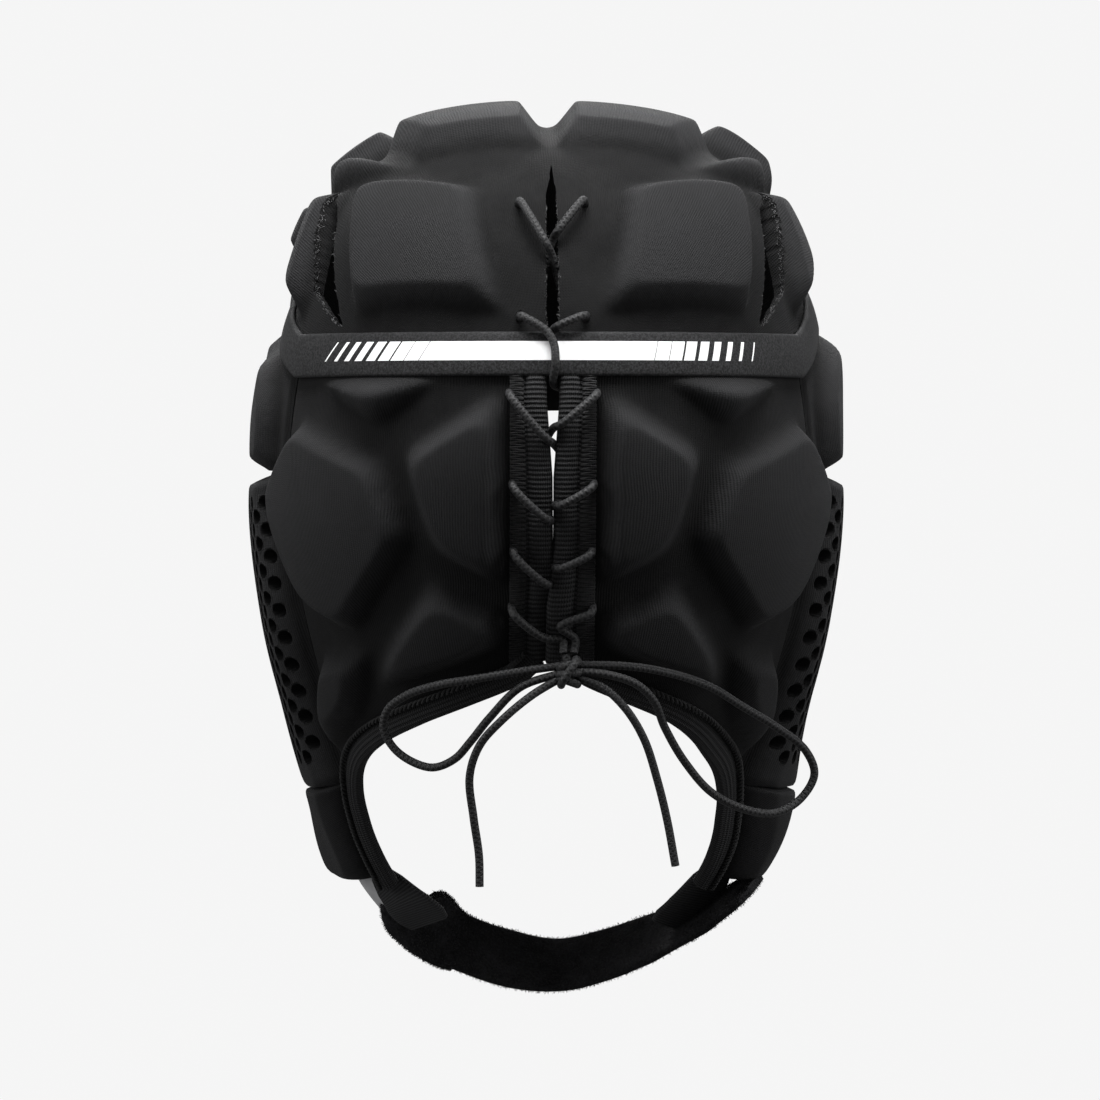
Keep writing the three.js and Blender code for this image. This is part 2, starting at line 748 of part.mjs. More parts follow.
function stripeBand() {
  const low = clothWall + seamGap;
  return wall({
    columns: 20,
    rows: 1,
    low,
    high: low + bandWall,
    place: (u, v) => {
      const azimuth = lerp(-Math.PI / 2 + bandHalfGap / headHalfLength, bandEndAzimuth * degree, u);
      const z = crownEdgeZ(azimuth) + bandHeight * (0.5 - v);
      return { level: levelAt(z), azimuth };
    },
  });
}

function laceFacing(laceChannels) {
  const low = clothWall + seamGap;
  const top = -headDrop * crownEdge[0].drop - bandHeight / 2 - seamGap;
  const body = wall({
    columns: 1,
    rows: 8,
    low,
    high: low + facingWall,
    place: (u, v) => {
      const across = slitHalfWidth + facingWidth * u;
      const bottom = neckEdge(across / headHalfLength / 3, panelInset).z;
      return besideSlit(lerp(top, bottom, v), across);
    },
  });
  const cuts = [bindingWall(deepest, highest, seamGap), ...laceChannels];
  return cuts.reduce((sum, cut) => sum.subtract(cut), body);
}

// Tube along points
function tube(points, diameter, steps, sides = bowSides) {
  const section = new THREE.Shape(
    Array.from({ length: sides }, (_, i) => {
      const turn = (2 * Math.PI * i) / sides;
      return new THREE.Vector2(Math.cos(turn), Math.sin(turn)).multiplyScalar(diameter / 2);
    }),
  );
  const path = new THREE.CatmullRomCurve3(points.map((p) => new THREE.Vector3(...p)));
  return closed(new THREE.ExtrudeGeometry(section, { steps, extrudePath: path, bevelEnabled: false }));
}

// One strand of the lacing: out of a hole, over to the slit, down through it and under the
// other side to the next hole. It starts on one side (1 right, -1 left).
function lacePoints(startSide) {
  const radius = laceDiameter / 2;
  const inside = -radius - 3 * laceClearance;
  const outside = clothWall + bandWall + seamGap + radius + laceClearance;
  const points = [];
  const put = (x, drop, height) => {
    const { level, azimuth } = besideSlit(-drop * headDrop, x);
    points.push(onHead(level, azimuth, height).toArray());
  };
  let side = startSide;
  laceHoles.forEach(({ reach, drop, meetRight, meetLeft }, i) => {
    const x = side * reach * headHalfWidth;
    const meet = side > 0 ? meetRight : meetLeft;
    put(x, drop, inside);
    put(x, drop, clothWall);
    put(x * 0.92, lerp(drop, meet, 0.12), outside);
    put(x * 0.2, lerp(drop, meet, 0.86), outside);
    const next = laceHoles[i + 1];
    if (next) {
      put(0, meet, clothWall);
      put(-x * 0.25, lerp(meet, next.drop, 0.35), inside);
      put(-side * next.reach * headHalfWidth * 0.75, lerp(meet, next.drop, 0.85), inside);
    }
    side = -side;
  });
  const [x, y, z] = knotCentre;
  const over = z + knotHalfHeight + laceClearance;
  const last = -side;
  points.push([x + last * 1.9, y + 1, over + 4], [x + last * 1.5, y, over]);
  return points;
}

const laceRoutes = { right: lacePoints(1), left: lacePoints(-1) };
const laceSteps = 50;
function laceChannelsFor() {
  const wide = laceDiameter + 2 * laceClearance;
  return Object.values(laceRoutes).map((points) => tube(points, wide, laceSteps, laceSides));
}

function knot() {
  const shape = new THREE.IcosahedronGeometry(1, 1);
  shape.scale(knotHalfWidth, knotHalfWidth, knotHalfHeight);
  return closed(shape.translate(...knotCentre));
}

// Flat strap along rows of centre points and ways across
function strap(rows, width, thickness, steps) {
  const path = new THREE.CatmullRomCurve3(rows.map((row) => new THREE.Vector3(...row.at)));
  const ways = new THREE.CatmullRomCurve3(rows.map((row) => new THREE.Vector3(...row.across)));
  const rings = [];
  for (let i = 0; i <= steps; i++) {
    const share = i / steps;
    const along = path.getTangent(share);
    const across = ways.getPoint(share);
    across.addScaledVector(along, -across.dot(along)).normalize();
    const out = along.clone().cross(across);
    const corner = (a, b) =>
      path.getPoint(share).addScaledVector(across, (a * width) / 2).addScaledVector(out, (b * thickness) / 2);
    rings.push([corner(-1, -1), corner(1, -1), corner(1, 1), corner(-1, 1)]);
  }
  return lofted([middleOf(rings[0]), ...rings, middleOf(rings.at(-1))]);
}

// Oval ring of round wire
function keeper() {
  const points = [];
  const faces = [];
  const at = (i, j) => (i % keeperCorners) * keeperSides + (j % keeperSides);
  for (let i = 0; i < keeperCorners; i++) {
    const turn = (2 * Math.PI * i) / keeperCorners;
    const [cos, sin] = [Math.cos(turn), Math.sin(turn)];
    for (let j = 0; j < keeperSides; j++) {
      const roll = (2 * Math.PI * j) / keeperSides;
      const out = (Math.cos(roll) * keeperWire) / 2;
      const up = (Math.sin(roll) * keeperWire) / 2;
      points.push(new THREE.Vector3((keeperHalfWidth + out) * cos, (keeperHalfLength + out) * sin, up));
      faces.push([at(i, j), at(i, j + 1), at(i + 1, j + 1)], [at(i, j), at(i + 1, j + 1), at(i + 1, j)]);
    }
  }
  const turned = new THREE.Euler(0, keeperTilt, 0);
  points.forEach((p) => p.applyEuler(turned).add(new THREE.Vector3(...keeperCentre)));
  return solid(points, faces);
}

const finishes = {
  knit: { color: 0x17181a, roughness: 0.85, metalness: 0 },
  stripe: { color: 0x1b1c1e, roughness: 0.8, metalness: 0 },
  tape: { color: 0x1d1e20, roughness: 0.9, metalness: 0 },
  lace: { color: 0x202124, roughness: 0.6, metalness: 0 },
  pile: { color: 0x141416, roughness: 0.95, metalness: 0 },
  ring: { color: 0x6a6c70, roughness: 0.35, metalness: 0 },
};

const scrumCap = new THREE.Group();
function add(name, shape, finish) {
  const { vertProperties, triVerts } = shape.getMesh();
  const geometry = new THREE.BufferGeometry();
  geometry.setAttribute("position", new THREE.BufferAttribute(new Float32Array(vertProperties), 3));
  geometry.setIndex(new THREE.BufferAttribute(new Uint32Array(triVerts), 1));
  geometry.computeVertexNormals();
  const mesh = new THREE.Mesh(geometry, new THREE.MeshStandardMaterial(finishes[finish]));
  mesh.name = name;
  scrumCap.add(mesh);
}
function addPair(name, shape, finish) {
  add(`${name}_right`, shape, finish);
  add(`${name}_left`, mirrorX(shape), finish);
}

const channels = laceChannelsFor();
const mirroredChannels = channels.map(mirrorX);
add("crown", crown(channels), "knit");
add("back_panel_right", backPanel(channels), "knit");
add("back_panel_left", mirrorX(backPanel(mirroredChannels)), "knit");
addPair("side_panel", sidePanel(), "knit");
addPair("ear_panel", earPanel(), "knit");
addPair("cheek_panel", cheekPanel(), "knit");
addPair("stripe_band", stripeBand(), "stripe");
add("lace_facing_right", laceFacing(channels), "tape");
add("lace_facing_left", mirrorX(laceFacing(mirroredChannels)), "tape");
addPair("neck_binding", bindingWall(0, clothWall + bindingExtraWall), "tape");
add("lace_right", tube(laceRoutes.right, laceDiameter, laceSteps, laceSides), "lace");
add("lace_left", tube(laceRoutes.left, laceDiameter, laceSteps, laceSides), "lace");
add("bow_knot", knot(), "lace");
add("bow_loop_right", tube(bowLoopRight, laceDiameter, 28), "lace");
add("bow_loop_left", tube(bowLoopLeft, laceDiameter, 22), "lace");
add("lace_end_right", tube(laceEndRight, laceDiameter, 11), "lace");
add("lace_end_left", tube(laceEndLeft, laceDiameter, 12), "lace");
addPair("strap_tab", strap(tabRows, tabWidth, tabWall, 6), "tape");
add("chin_strap", strap(chinRows, strapWidth, strapWall, 24), "pile");
add("strap_keeper", keeper(), "ring");

export default scrumCap;
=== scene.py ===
# Rugby scrum cap: the looks of a padded head guard, laced at the back.
# Sizes are in millimetres, and meshes are made in metres. +Z is up, +Y is the way the
# wearer faces, +X is the wearer's right. The camera stands behind the wearer.
import copy
import math
import random

import bpy
import numpy as np
from mathutils import Matrix, Vector
from mathutils.bvhtree import BVHTree


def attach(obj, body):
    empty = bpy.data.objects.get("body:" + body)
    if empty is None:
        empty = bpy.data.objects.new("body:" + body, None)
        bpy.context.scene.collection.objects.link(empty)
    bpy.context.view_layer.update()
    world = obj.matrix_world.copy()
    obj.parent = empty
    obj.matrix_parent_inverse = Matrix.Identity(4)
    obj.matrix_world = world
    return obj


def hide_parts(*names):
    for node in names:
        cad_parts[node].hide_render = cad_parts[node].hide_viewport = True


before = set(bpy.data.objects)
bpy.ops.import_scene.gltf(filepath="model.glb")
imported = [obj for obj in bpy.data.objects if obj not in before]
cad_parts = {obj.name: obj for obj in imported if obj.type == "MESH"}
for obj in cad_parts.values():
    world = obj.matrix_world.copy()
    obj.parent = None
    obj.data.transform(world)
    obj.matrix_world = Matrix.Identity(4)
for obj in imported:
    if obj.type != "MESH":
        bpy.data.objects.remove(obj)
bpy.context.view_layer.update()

MM = 0.001
DEGREE = math.pi / 180

# Head hollow
HEAD_HALF_WIDTH = 77.5
HEAD_HALF_LENGTH = 98.5
HEAD_DROP = 233.0
HEAD_ROUNDNESS = 2.2

# Padded cloth
CLOTH_WALL = 2.8
CROWN_PAD_RISE = 7.4
BACK_PAD_RISE = 7.6
SIDE_PAD_RISE = 7.6
EAR_PAD_RISE = 7.8
CHEEK_RISE = 8.4
PAD_SHOULDER = 5.2
PAD_CORNER = 2.0
SEAM_GAP = 0.36

# Slit, facings, band and binding
SLIT_HALF_WIDTH = 1.9
SLIT_TOP_DROP = 10.5
BAND_HEIGHT = 12.8
BAND_WALL = 1.7
BAND_HALF_GAP = 0.4
BAND_END_AZIMUTH = 20
BAND_SAG = 1.3
BINDING_WIDTH = 6.4
BINDING_EXTRA_WALL = 0.9

# Lace, bow and straps
LACE_DIAMETER = 2.4
LACE_CLEARANCE = 0.35
KNOT_HALF_HEIGHT = 4.9
STRAP_WIDTH = 20.0
STRAP_WALL = 2.2
TAB_WIDTH = 18.0
TAB_WALL = 1.8

# Head sections, from the top of the head down: how far down, and the reach to the side,
# the front and the back, as shares of the head's drop, half width and half length
HEAD_SECTIONS = [
    (0, 0, 0, 0),
    (0.015, 0.44, 0.4, 0.41),
    (0.055, 0.7, 0.645, 0.68),
    (0.13, 0.86, 0.825, 0.855),
    (0.24, 0.954, 0.955, 0.97),
    (0.36, 0.997, 1.0, 1.01),
    (0.48, 0.995, 0.97, 0.965),
    (0.6, 0.952, 0.915, 0.855),
    (0.71, 0.872, 0.87, 0.7),
    (0.815, 0.787, 0.8, 0.55),
    (0.89, 0.742, 0.79, 0.345),
    (0.94, 0.671, 0.81, 0.165),
    (1.0, 0.555, 0.8, -0.07),
]

# Lower edge of the crown: azimuth in degrees from the ear (0) to the forehead (90) and
# to the back (-90), and drop as a share of the head's drop
CROWN_EDGE = [
    (-90, 0.2725),
    (-32, 0.2725),
    (-15, 0.24),
    (0, 0.208),
    (17, 0.192),
    (30, 0.225),
    (38, 0.29),
    (44, 0.337),
    (90, 0.341),
]

# Seam between the back panel and the pieces round the ear: drop, azimuth
SIDE_SEAM = [(0.27, -30), (0.45, -22.5), (0.63, -26), (0.76, -27), (0.84, -30)]

# Front edge, round the face: drop, azimuth
FACE_EDGE = [
    (0.2, 44),
    (0.34, 44),
    (0.42, 37),
    (0.52, 31),
    (0.65, 27),
    (0.78, 22),
    (0.86, 17),
    (0.94, 4),
]

# Neckline from the back centre to the end of the cheek: azimuth, drop
NECKLINE = [
    (-88.6, 0.66),
    (-84, 0.683),
    (-72.7, 0.711),
    (-60.6, 0.736),
    (-48.3, 0.761),
    (-38.5, 0.788),
    (-32.5, 0.824),
    (-31.6, 0.863),
    (-32.6, 0.9),
    (-34.5, 0.937),
]

# Where the column of pieces round the ear is parted, as shares of the head's drop
EAR_TOP = 0.421
EAR_BOTTOM = 0.817
CHEEK_BOTTOM = 0.931

# Raised pads of the right half: the view that shows the pad best, and its corners there
# as shares of the head's half width (x), half length (y) and drop (z, down)
CROWN_PADS = [
    ("top", [(0.03, -0.585), (0.5, -0.55), (0.655, -0.055), (0.03, -0.03)], 9.0),
    ("top", [(0.03, 0.04), (0.47, 0.05), (0.43, 0.5), (0.03, 0.56)], 8.6),
    ("top", [(0.585, -0.5), (0.76, -0.37), (0.87, -0.04), (0.73, -0.04)], 9.2),
    ("top", [(0.54, 0.04), (0.87, 0.04), (0.77, 0.4), (0.51, 0.46)], 9.4),
    ("rear", [(0.25, 0.062), (0.73, 0.058), (0.765, 0.228), (0.175, 0.228)], 8.0),
    ("side", [(-0.35, 0.06), (-0.05, 0.07), (-0.05, 0.16), (-0.24, 0.2), (-0.42, 0.235), (-0.46, 0.2)], 7.6),
    ("side", [(0.02, 0.07), (0.36, 0.08), (0.4, 0.15), (0.3, 0.158), (0.02, 0.158)], 7.6),
    ("side", [(0.45, 0.1), (0.6, 0.13), (0.7, 0.29), (0.62, 0.275), (0.47, 0.185)], 7.4),
    ("front", [(0.05, 0.1), (0.4, 0.105), (0.43, 0.318), (0.05, 0.318)], 7.4),
    ("front", [(0.5, 0.11), (0.64, 0.13), (0.67, 0.318), (0.52, 0.318)], 7.4),
]
BACK_PADS = [
    ("rear", [(0.4, 0.304), (0.92, 0.304), (0.67, 0.372)]),
    ("rear", [(0.166, 0.34), (0.22, 0.322), (0.585, 0.4), (0.465, 0.528), (0.166, 0.575)]),
    ("rear", [(0.64, 0.405), (0.95, 0.35), (1.06, 0.45), (0.915, 0.6), (0.745, 0.632), (0.52, 0.5145)]),
    ("rear", [(0.166, 0.6), (0.464, 0.56), (0.665, 0.65), (0.665, 0.7), (0.166, 0.645)]),
    ("rear", [(0.7, 0.65), (0.88, 0.645), (0.885, 0.72), (0.84, 0.785), (0.7, 0.72)]),
]
SIDE_PADS = [
    ("side", [(-0.31, 0.335), (-0.18, 0.28), (0.28, 0.225), (0.28, 0.428), (-0.28, 0.428)]),
    ("side", [(0.34, 0.235), (0.46, 0.275), (0.56, 0.35), (0.52, 0.428), (0.34, 0.428)]),
]
VENT_CORNERS = [(0.742, 0.062), (0.885, 0.2), (0.8, 0.243), (0.778, 0.243)]

# Lace holes from the top: reach to the side, drop, and the drops at which the strands
# from the right and the left hole go down the slit
LACE_HOLES = [
    (0.118, 0.098, 0.144, 0.162),
    (0.118, 0.236, 0.252, 0.26),
    (0.158, 0.327, 0.37, 0.388),
    (0.146, 0.435, 0.463, 0.481),
    (0.142, 0.515, 0.537, 0.558),
    (0.146, 0.585, 0.607, 0.622),
]

# The pair of holes whose left strand falls over the band before it goes in, and how far
FALLING_PAIR = 1
FALL_END = 0.315

# Bow at the nape
KNOT_CENTRE = (4.8, -87.5, -156.5)
BOW_LOOP_RIGHT = [
    (6.4, -87.2, -154.6),
    (22, -88, -155),
    (34, -83, -157),
    (46, -74, -161),
    (56, -66, -167),
    (66, -58, -173),
    (74.8, -51, -180),
    (77.4, -48, -187),
    (73.4, -48, -194),
    (66, -52, -198),
    (57, -57, -197),
    (47, -62, -192),
    (39, -68, -183),
    (33, -76, -173),
    (29.5, -83, -165),
    (24, -88, -160),
    (16, -89.5, -157.4),
    (6.4, -87.4, -156.6),
]
BOW_LOOP_LEFT = [
    (3.4, -87.2, -154.8),
    (-9, -88.5, -156.5),
    (-21, -87, -158.5),
    (-33, -83, -160.5),
    (-42, -77, -163.5),
    (-47.5, -72, -168),
    (-48.5, -69.5, -173.5),
    (-45.5, -69, -179),
    (-40, -70.5, -183),
    (-34, -73, -184.5),
    (-28, -75.5, -182),
    (-23.5, -78.5, -177),
    (-18, -83, -170),
    (-9, -87.5, -161),
    (3.4, -87.6, -156.8),
]
LACE_END_RIGHT = [
    (6.2, -87.2, -157.6),
    (14.5, -89, -161),
    (21, -89, -167),
    (26.6, -86, -176),
    (30.6, -82, -188),
    (33.6, -79, -200),
    (36, -77, -213),
]
LACE_END_LEFT = [
    (3.6, -87.2, -157.8),
    (-6, -90, -163.5),
    (-15, -91, -171),
    (-21, -88, -178),
    (-23.8, -84, -187),
    (-22.6, -80.5, -199),
    (-21, -78, -210),
    (-20.8, -77, -219),
]

# Straps: centre line, and the way across the width
TAB_ROWS_RIGHT = [
    ((57.5, 8.5, -209), (0.42, 0.8, -0.42)),
    ((53.4, 11.5, -213.1), (0.42, 0.8, -0.42)),
    ((49.2, 14.5, -218.6), (0.42, 0.8, -0.42)),
    ((42.8, 19.5, -227), (0.4, 0.8, -0.44)),
    ((37.6, 23.5, -232.8), (0.35, 0.76, -0.55)),
]
TAB_ROWS_LEFT = [
    ((-53.5, 9, -210.5), (-0.45, 0.8, -0.4)),
    ((-49.6, 9, -216.9), (-0.45, 0.8, -0.4)),
    ((-42.2, 9.5, -224.6), (-0.45, 0.8, -0.42)),
    ((-34.2, 15, -231.6), (-0.4, 0.8, -0.45)),
]
CHIN_ROWS = [
    ((-39.6, 20.5, -228), (0.42, -0.62, 0.66)),
    ((-33.6, 26, -232.4), (0.3, -0.1, 0.94)),
    ((-25, 31, -237.6), (-0.04, 0.45, 0.88)),
    ((-10.3, 38, -242.9), (-0.05, 0.52, 0.85)),
    ((4.7, 41, -244.9), (0, 0.67, 0.75)),
    ((18.3, 37, -241.9), (0.05, 0.66, 0.75)),
    ((31.9, 29.5, -236.8), (0.12, 0.67, 0.72)),
    ((43.4, 21.5, -232.6), (0.1, 0.9, 0.42)),
    ((52.4, 14.5, -226.5), (-0.16, 0.96, 0.2)),
    ((61.8, 7, -220.2), (-0.12, 0.98, 0.12)),
]
TAB_WIDTHS = [(0, 0.2), (0.25, 0.36), (0.5, 0.8), (0.72, 1), (0.9, 1), (1, 0.84)]
CHIN_WIDTHS = [(0, 1), (0.95, 1), (0.985, 0.86), (1, 0.5)]
FOLD_ROWS = [
    ((-42.6, 15.5, -224), (-0.42, 0.78, -0.45)),
    ((-39.2, 19, -228.8), (-0.46, 0.5, -0.72)),
    ((-33.8, 22.5, -232.8), (-0.4, 0.2, -0.88)),
    ((-29.2, 26, -236.2), (-0.12, 0.1, -0.97)),
    ((-25.2, 28.6, -237.9), (0.12, 0.1, -0.97)),
]
FOLD_WIDTHS = [(0, 0.78), (0.25, 0.98), (0.5, 0.98), (1, 0.86)]
KEEPER_ROWS = [
    ((-54.2, 14.2, -216.6), (-0.5, 0.86, 0.05)),
    ((-53.2, 15, -218.6), (-0.5, 0.86, 0)),
    ((-49.5, 17, -223.2), (-0.48, 0.87, -0.05)),
    ((-44.6, 20, -228.6), (-0.45, 0.88, -0.1)),
]
KEEPER_WIDTH = 10.5
KEEPER_WALL = 1.3

# Where the worn cap stands away from its plain shape: place, reach, shift
SETTLED = [
    ((52, -30, -203), 26, (-4.6, 0, 0)),
    ((48, -39, -184), 20, (-3.6, 0, -2.0)),
    ((-50, -30, -222), 20, (3.0, 0, 0)),
    ((82, 5, -62), 17, (2.2, 0, 0.5)),
    ((-81, 10, -62), 15, (3.0, 0, -1)),
    ((-58, 2, -3), 17, (2.2, 0, -1.6)),
    ((-67, 0, -17), 9, (-2.0, 0, 0.8)),
    ((-78, -10, -34), 20, (3.4, 0, 0)),
    ((-73, 0, -27), 9, (1.8, 0, 0)),
    ((52, 18, 1), 17, (1.8, 0, 1.4)),
    ((68, 5, -14), 10, (3.8, 0, 1)),
    ((77, 0, -26), 12, (-1.6, 0, 0)),
    ((74, 6, -199), 18, (3.4, 0, 0)),
    ((-70, 8, -214), 16, (3.4, 0, 0)),
]


# Camera
FRAME_WIDTH = 324.5
CAMERA_DISTANCE = 4500.0
CAMERA_YAW = 1.18 * DEGREE
CAMERA_TARGET = (1.2, 0, -121.4)


def add_camera():
    camera = bpy.data.cameras.new("camera")
    camera.sensor_width = 36
    camera.lens = camera.sensor_width * CAMERA_DISTANCE / FRAME_WIDTH
    camera.clip_end = 60
    thing = bpy.data.objects.new("camera", camera)
    bpy.context.scene.collection.objects.link(thing)
    back = Vector((-math.sin(CAMERA_YAW), -math.cos(CAMERA_YAW), 0))
    target = Vector(CAMERA_TARGET)
    thing.location = (target + back * CAMERA_DISTANCE) * MM
    thing.rotation_euler = (-back).to_track_quat("-Z", "Y").to_euler()
    bpy.context.scene.camera = thing


# Head surface
def between(table, at):
    keys, values = zip(*table)
    return np.interp(at, keys, values)


def head_rows():
    rows = np.array(HEAD_SECTIONS, float)
    above = rows[1] * (1, -1, -1, -1)
    return np.vstack([above, rows, rows[-1]])


ROWS = head_rows()
LAST_LEVEL = len(HEAD_SECTIONS) - 1


def head_section(level):
    """Height, half width, half length and middle of the head's section at a level, which
    is the row number in the table, with smooth steps between the rows."""
    level = np.maximum(np.asarray(level, float), 1e-6)
    i = np.clip(np.floor(level).astype(int), 0, LAST_LEVEL - 1)
    f = (level - i)[..., None]
    a, b, c, d = (ROWS[i + k] for k in range(4))
    bend = 2 * a - 5 * b + 4 * c - d + f * (3 * (b - c) + d - a)
    smooth = b + 0.5 * f * (c - a + f * bend)
    front = smooth[..., 2] * HEAD_HALF_LENGTH
    back = smooth[..., 3] * HEAD_HALF_LENGTH
    half_width = smooth[..., 1] * HEAD_HALF_WIDTH
    return -smooth[..., 0] * HEAD_DROP, half_width, (front + back) / 2, (front - back) / 2


FINE_LEVELS = np.linspace(0, LAST_LEVEL, 6001)
FINE_DROPS = -head_section(FINE_LEVELS)[0]


def level_at(z):
    return np.interp(-np.asarray(z, float), FINE_DROPS, FINE_LEVELS)


def head_point(level, azimuth):
    z, half_width, half_length, middle = head_section(level)
    x = np.abs(np.cos(azimuth) / half_width)
    y = np.abs(np.sin(azimuth) / half_length)
    radius = (x**HEAD_ROUNDNESS + y**HEAD_ROUNDNESS) ** (-1 / HEAD_ROUNDNESS)
    return np.stack([radius * np.cos(azimuth), middle + radius * np.sin(azimuth), z + 0 * radius], -1)


def unit(vectors):
    return vectors / np.maximum(np.linalg.norm(vectors, axis=-1, keepdims=True), 1e-9)


def head_normal(level, azimuth):
    step = 0.01
    at = np.maximum(level, 4 * step)
    down = head_point(at + step, azimuth) - head_point(at - step, azimuth)
    round_ = head_point(at, azimuth + step) - head_point(at, azimuth - step)
    normal = unit(np.cross(down, round_))
    pole = (np.asarray(level) < step)[..., None]
    return np.where(pole, (0.0, 0.0, 1.0), normal)


def on_head(level, azimuth, height):
    height = np.asarray(height, float)[..., None]
    return head_point(level, azimuth) + head_normal(level, azimuth) * height


def beside_slit(z, across):
    level = level_at(z)
    half_length = head_section(level)[2]
    return level, -math.pi / 2 + np.arcsin(across / half_length)


def gap_angle(z, gap):
    return gap / head_section(level_at(z))[1]


def crown_edge_z(azimuth):
    turned = np.abs((np.asarray(azimuth) / DEGREE + 90) % 360 - 180)
    return -HEAD_DROP * between(CROWN_EDGE, 90 - turned)


def seam_azimuth(z):
    return DEGREE * between(SIDE_SEAM, -np.asarray(z) / HEAD_DROP)


def face_azimuth(z):
    return DEGREE * between(FACE_EDGE, -np.asarray(z) / HEAD_DROP)


# Smooth curve through points, evenly spread over them by their number
def curve_at(points, share):
    points = np.asarray(points, float)
    ends = np.vstack([2 * points[0] - points[1], points, 2 * points[-1] - points[-2]])
    at = np.clip(np.asarray(share, float), 0, 1) * (len(points) - 1)
    i = np.minimum(at.astype(int), len(points) - 2)
    f = (at - i)[..., None]
    a, b, c, d = (ends[i + k] for k in range(4))
    ab, bc, cd = (
        np.maximum(np.linalg.norm(q - p, axis=-1, keepdims=True), 1e-9) ** 0.5
        for p, q in ((a, b), (b, c), (c, d))
    )
    start = ((b - a) / ab - (c - a) / (ab + bc) + (c - b) / bc) * bc
    stop = ((c - b) / bc - (d - b) / (bc + cd) + (d - c) / cd) * bc
    cubic = 2 * b - 2 * c + start + stop
    square = -3 * b + 3 * c - 2 * start - stop
    return b + f * (start + f * (square + f * cubic))


def reach_along(points):
    return np.concatenate([[0], np.cumsum(np.linalg.norm(np.diff(points, axis=0), axis=1))])


def even_curve(points, step):
    """Points along the smooth curve, a step apart."""
    fine = curve_at(points, np.linspace(0, 1, 60 * len(points)))
    reach = reach_along(fine)
    count = max(int(round(reach[-1] / step)), 2)
    at = np.linspace(0, reach[-1], count + 1)
    return np.stack([np.interp(at, reach, fine[:, k]) for k in range(fine.shape[1])], -1)


NECK_POINTS = [(azimuth * DEGREE, -drop * HEAD_DROP, 0) for azimuth, drop in NECKLINE]
PANEL_INSET = BINDING_WIDTH + SEAM_GAP


def neck_edge(share, inside):
    """Azimuth and height of a line that runs a distance inside the neckline."""
    step = 0.004
    share = np.asarray(share, float)
    at = curve_at(NECK_POINTS, share)
    a = curve_at(NECK_POINTS, share - step)
    b = curve_at(NECK_POINTS, share + step)
    _, half_width, half_length, _ = head_section(level_at(at[..., 1]))
    radius = (half_width + half_length) / 2
    along = unit(np.stack([(b[..., 0] - a[..., 0]) * radius, b[..., 1] - a[..., 1]], -1))
    return at[..., 0] - along[..., 1] * inside / radius, at[..., 1] + along[..., 0] * inside


def corner_share():
    shares = np.linspace(0.4, 0.95, 2000)
    azimuth, z = neck_edge(shares, PANEL_INSET)
    return shares[np.argmax(azimuth > seam_azimuth(z))]


CORNER_SHARE = corner_share()
LOWER_SHARES = np.linspace(CORNER_SHARE, 1, 400)
LOWER_AZIMUTHS, LOWER_HEIGHTS = neck_edge(LOWER_SHARES, PANEL_INSET)
CORNER_Z = LOWER_HEIGHTS[0]


def rear_azimuth(z):
    seam = seam_azimuth(z) + gap_angle(z, SEAM_GAP)
    neck = np.interp(-np.asarray(z), -LOWER_HEIGHTS, LOWER_AZIMUTHS)
    return np.where(np.asarray(z) > CORNER_Z, seam, np.maximum(neck, seam))


# Pads
def section_level(p, q):
    """Level of the section that passes through a point seen from above."""
    low, high = 0.02, 5.0
    for _ in range(34):
        middle = (low + high) / 2
        _, half_width, half_length, centre = head_section(middle)
        share = abs(p / half_width) ** HEAD_ROUNDNESS + abs((q - centre) / half_length) ** HEAD_ROUNDNESS
        low, high = (middle, high) if share > 1 else (low, middle)
    return (low + high) / 2


def seen_from(view, across, along, height):
    """Level and azimuth of the place that shows at a point of a view, when it stands at a
    height above the head."""
    p, q = across, along

    def reach(share):
        return max(1 - abs(share) ** HEAD_ROUNDNESS, 1e-4) ** (1 / HEAD_ROUNDNESS)

    for _ in range(8):
        if view == "top":
            level = section_level(p, q)
            azimuth = math.atan2(q - head_section(level)[3], p)
        else:
            level = float(level_at(min(q, -0.3)))
            _, half_width, half_length, middle = head_section(level)
            if view == "side":
                azimuth = math.atan2(p - middle, half_width * reach((p - middle) / half_length))
            else:
                y = half_length * reach(p / half_width)
                azimuth = math.atan2(-y if view == "rear" else y, p)
        x, y, z = on_head(level, azimuth, height)
        p += across - (y if view == "side" else x)
        q += along - (y if view == "top" else z)
    return level, azimuth


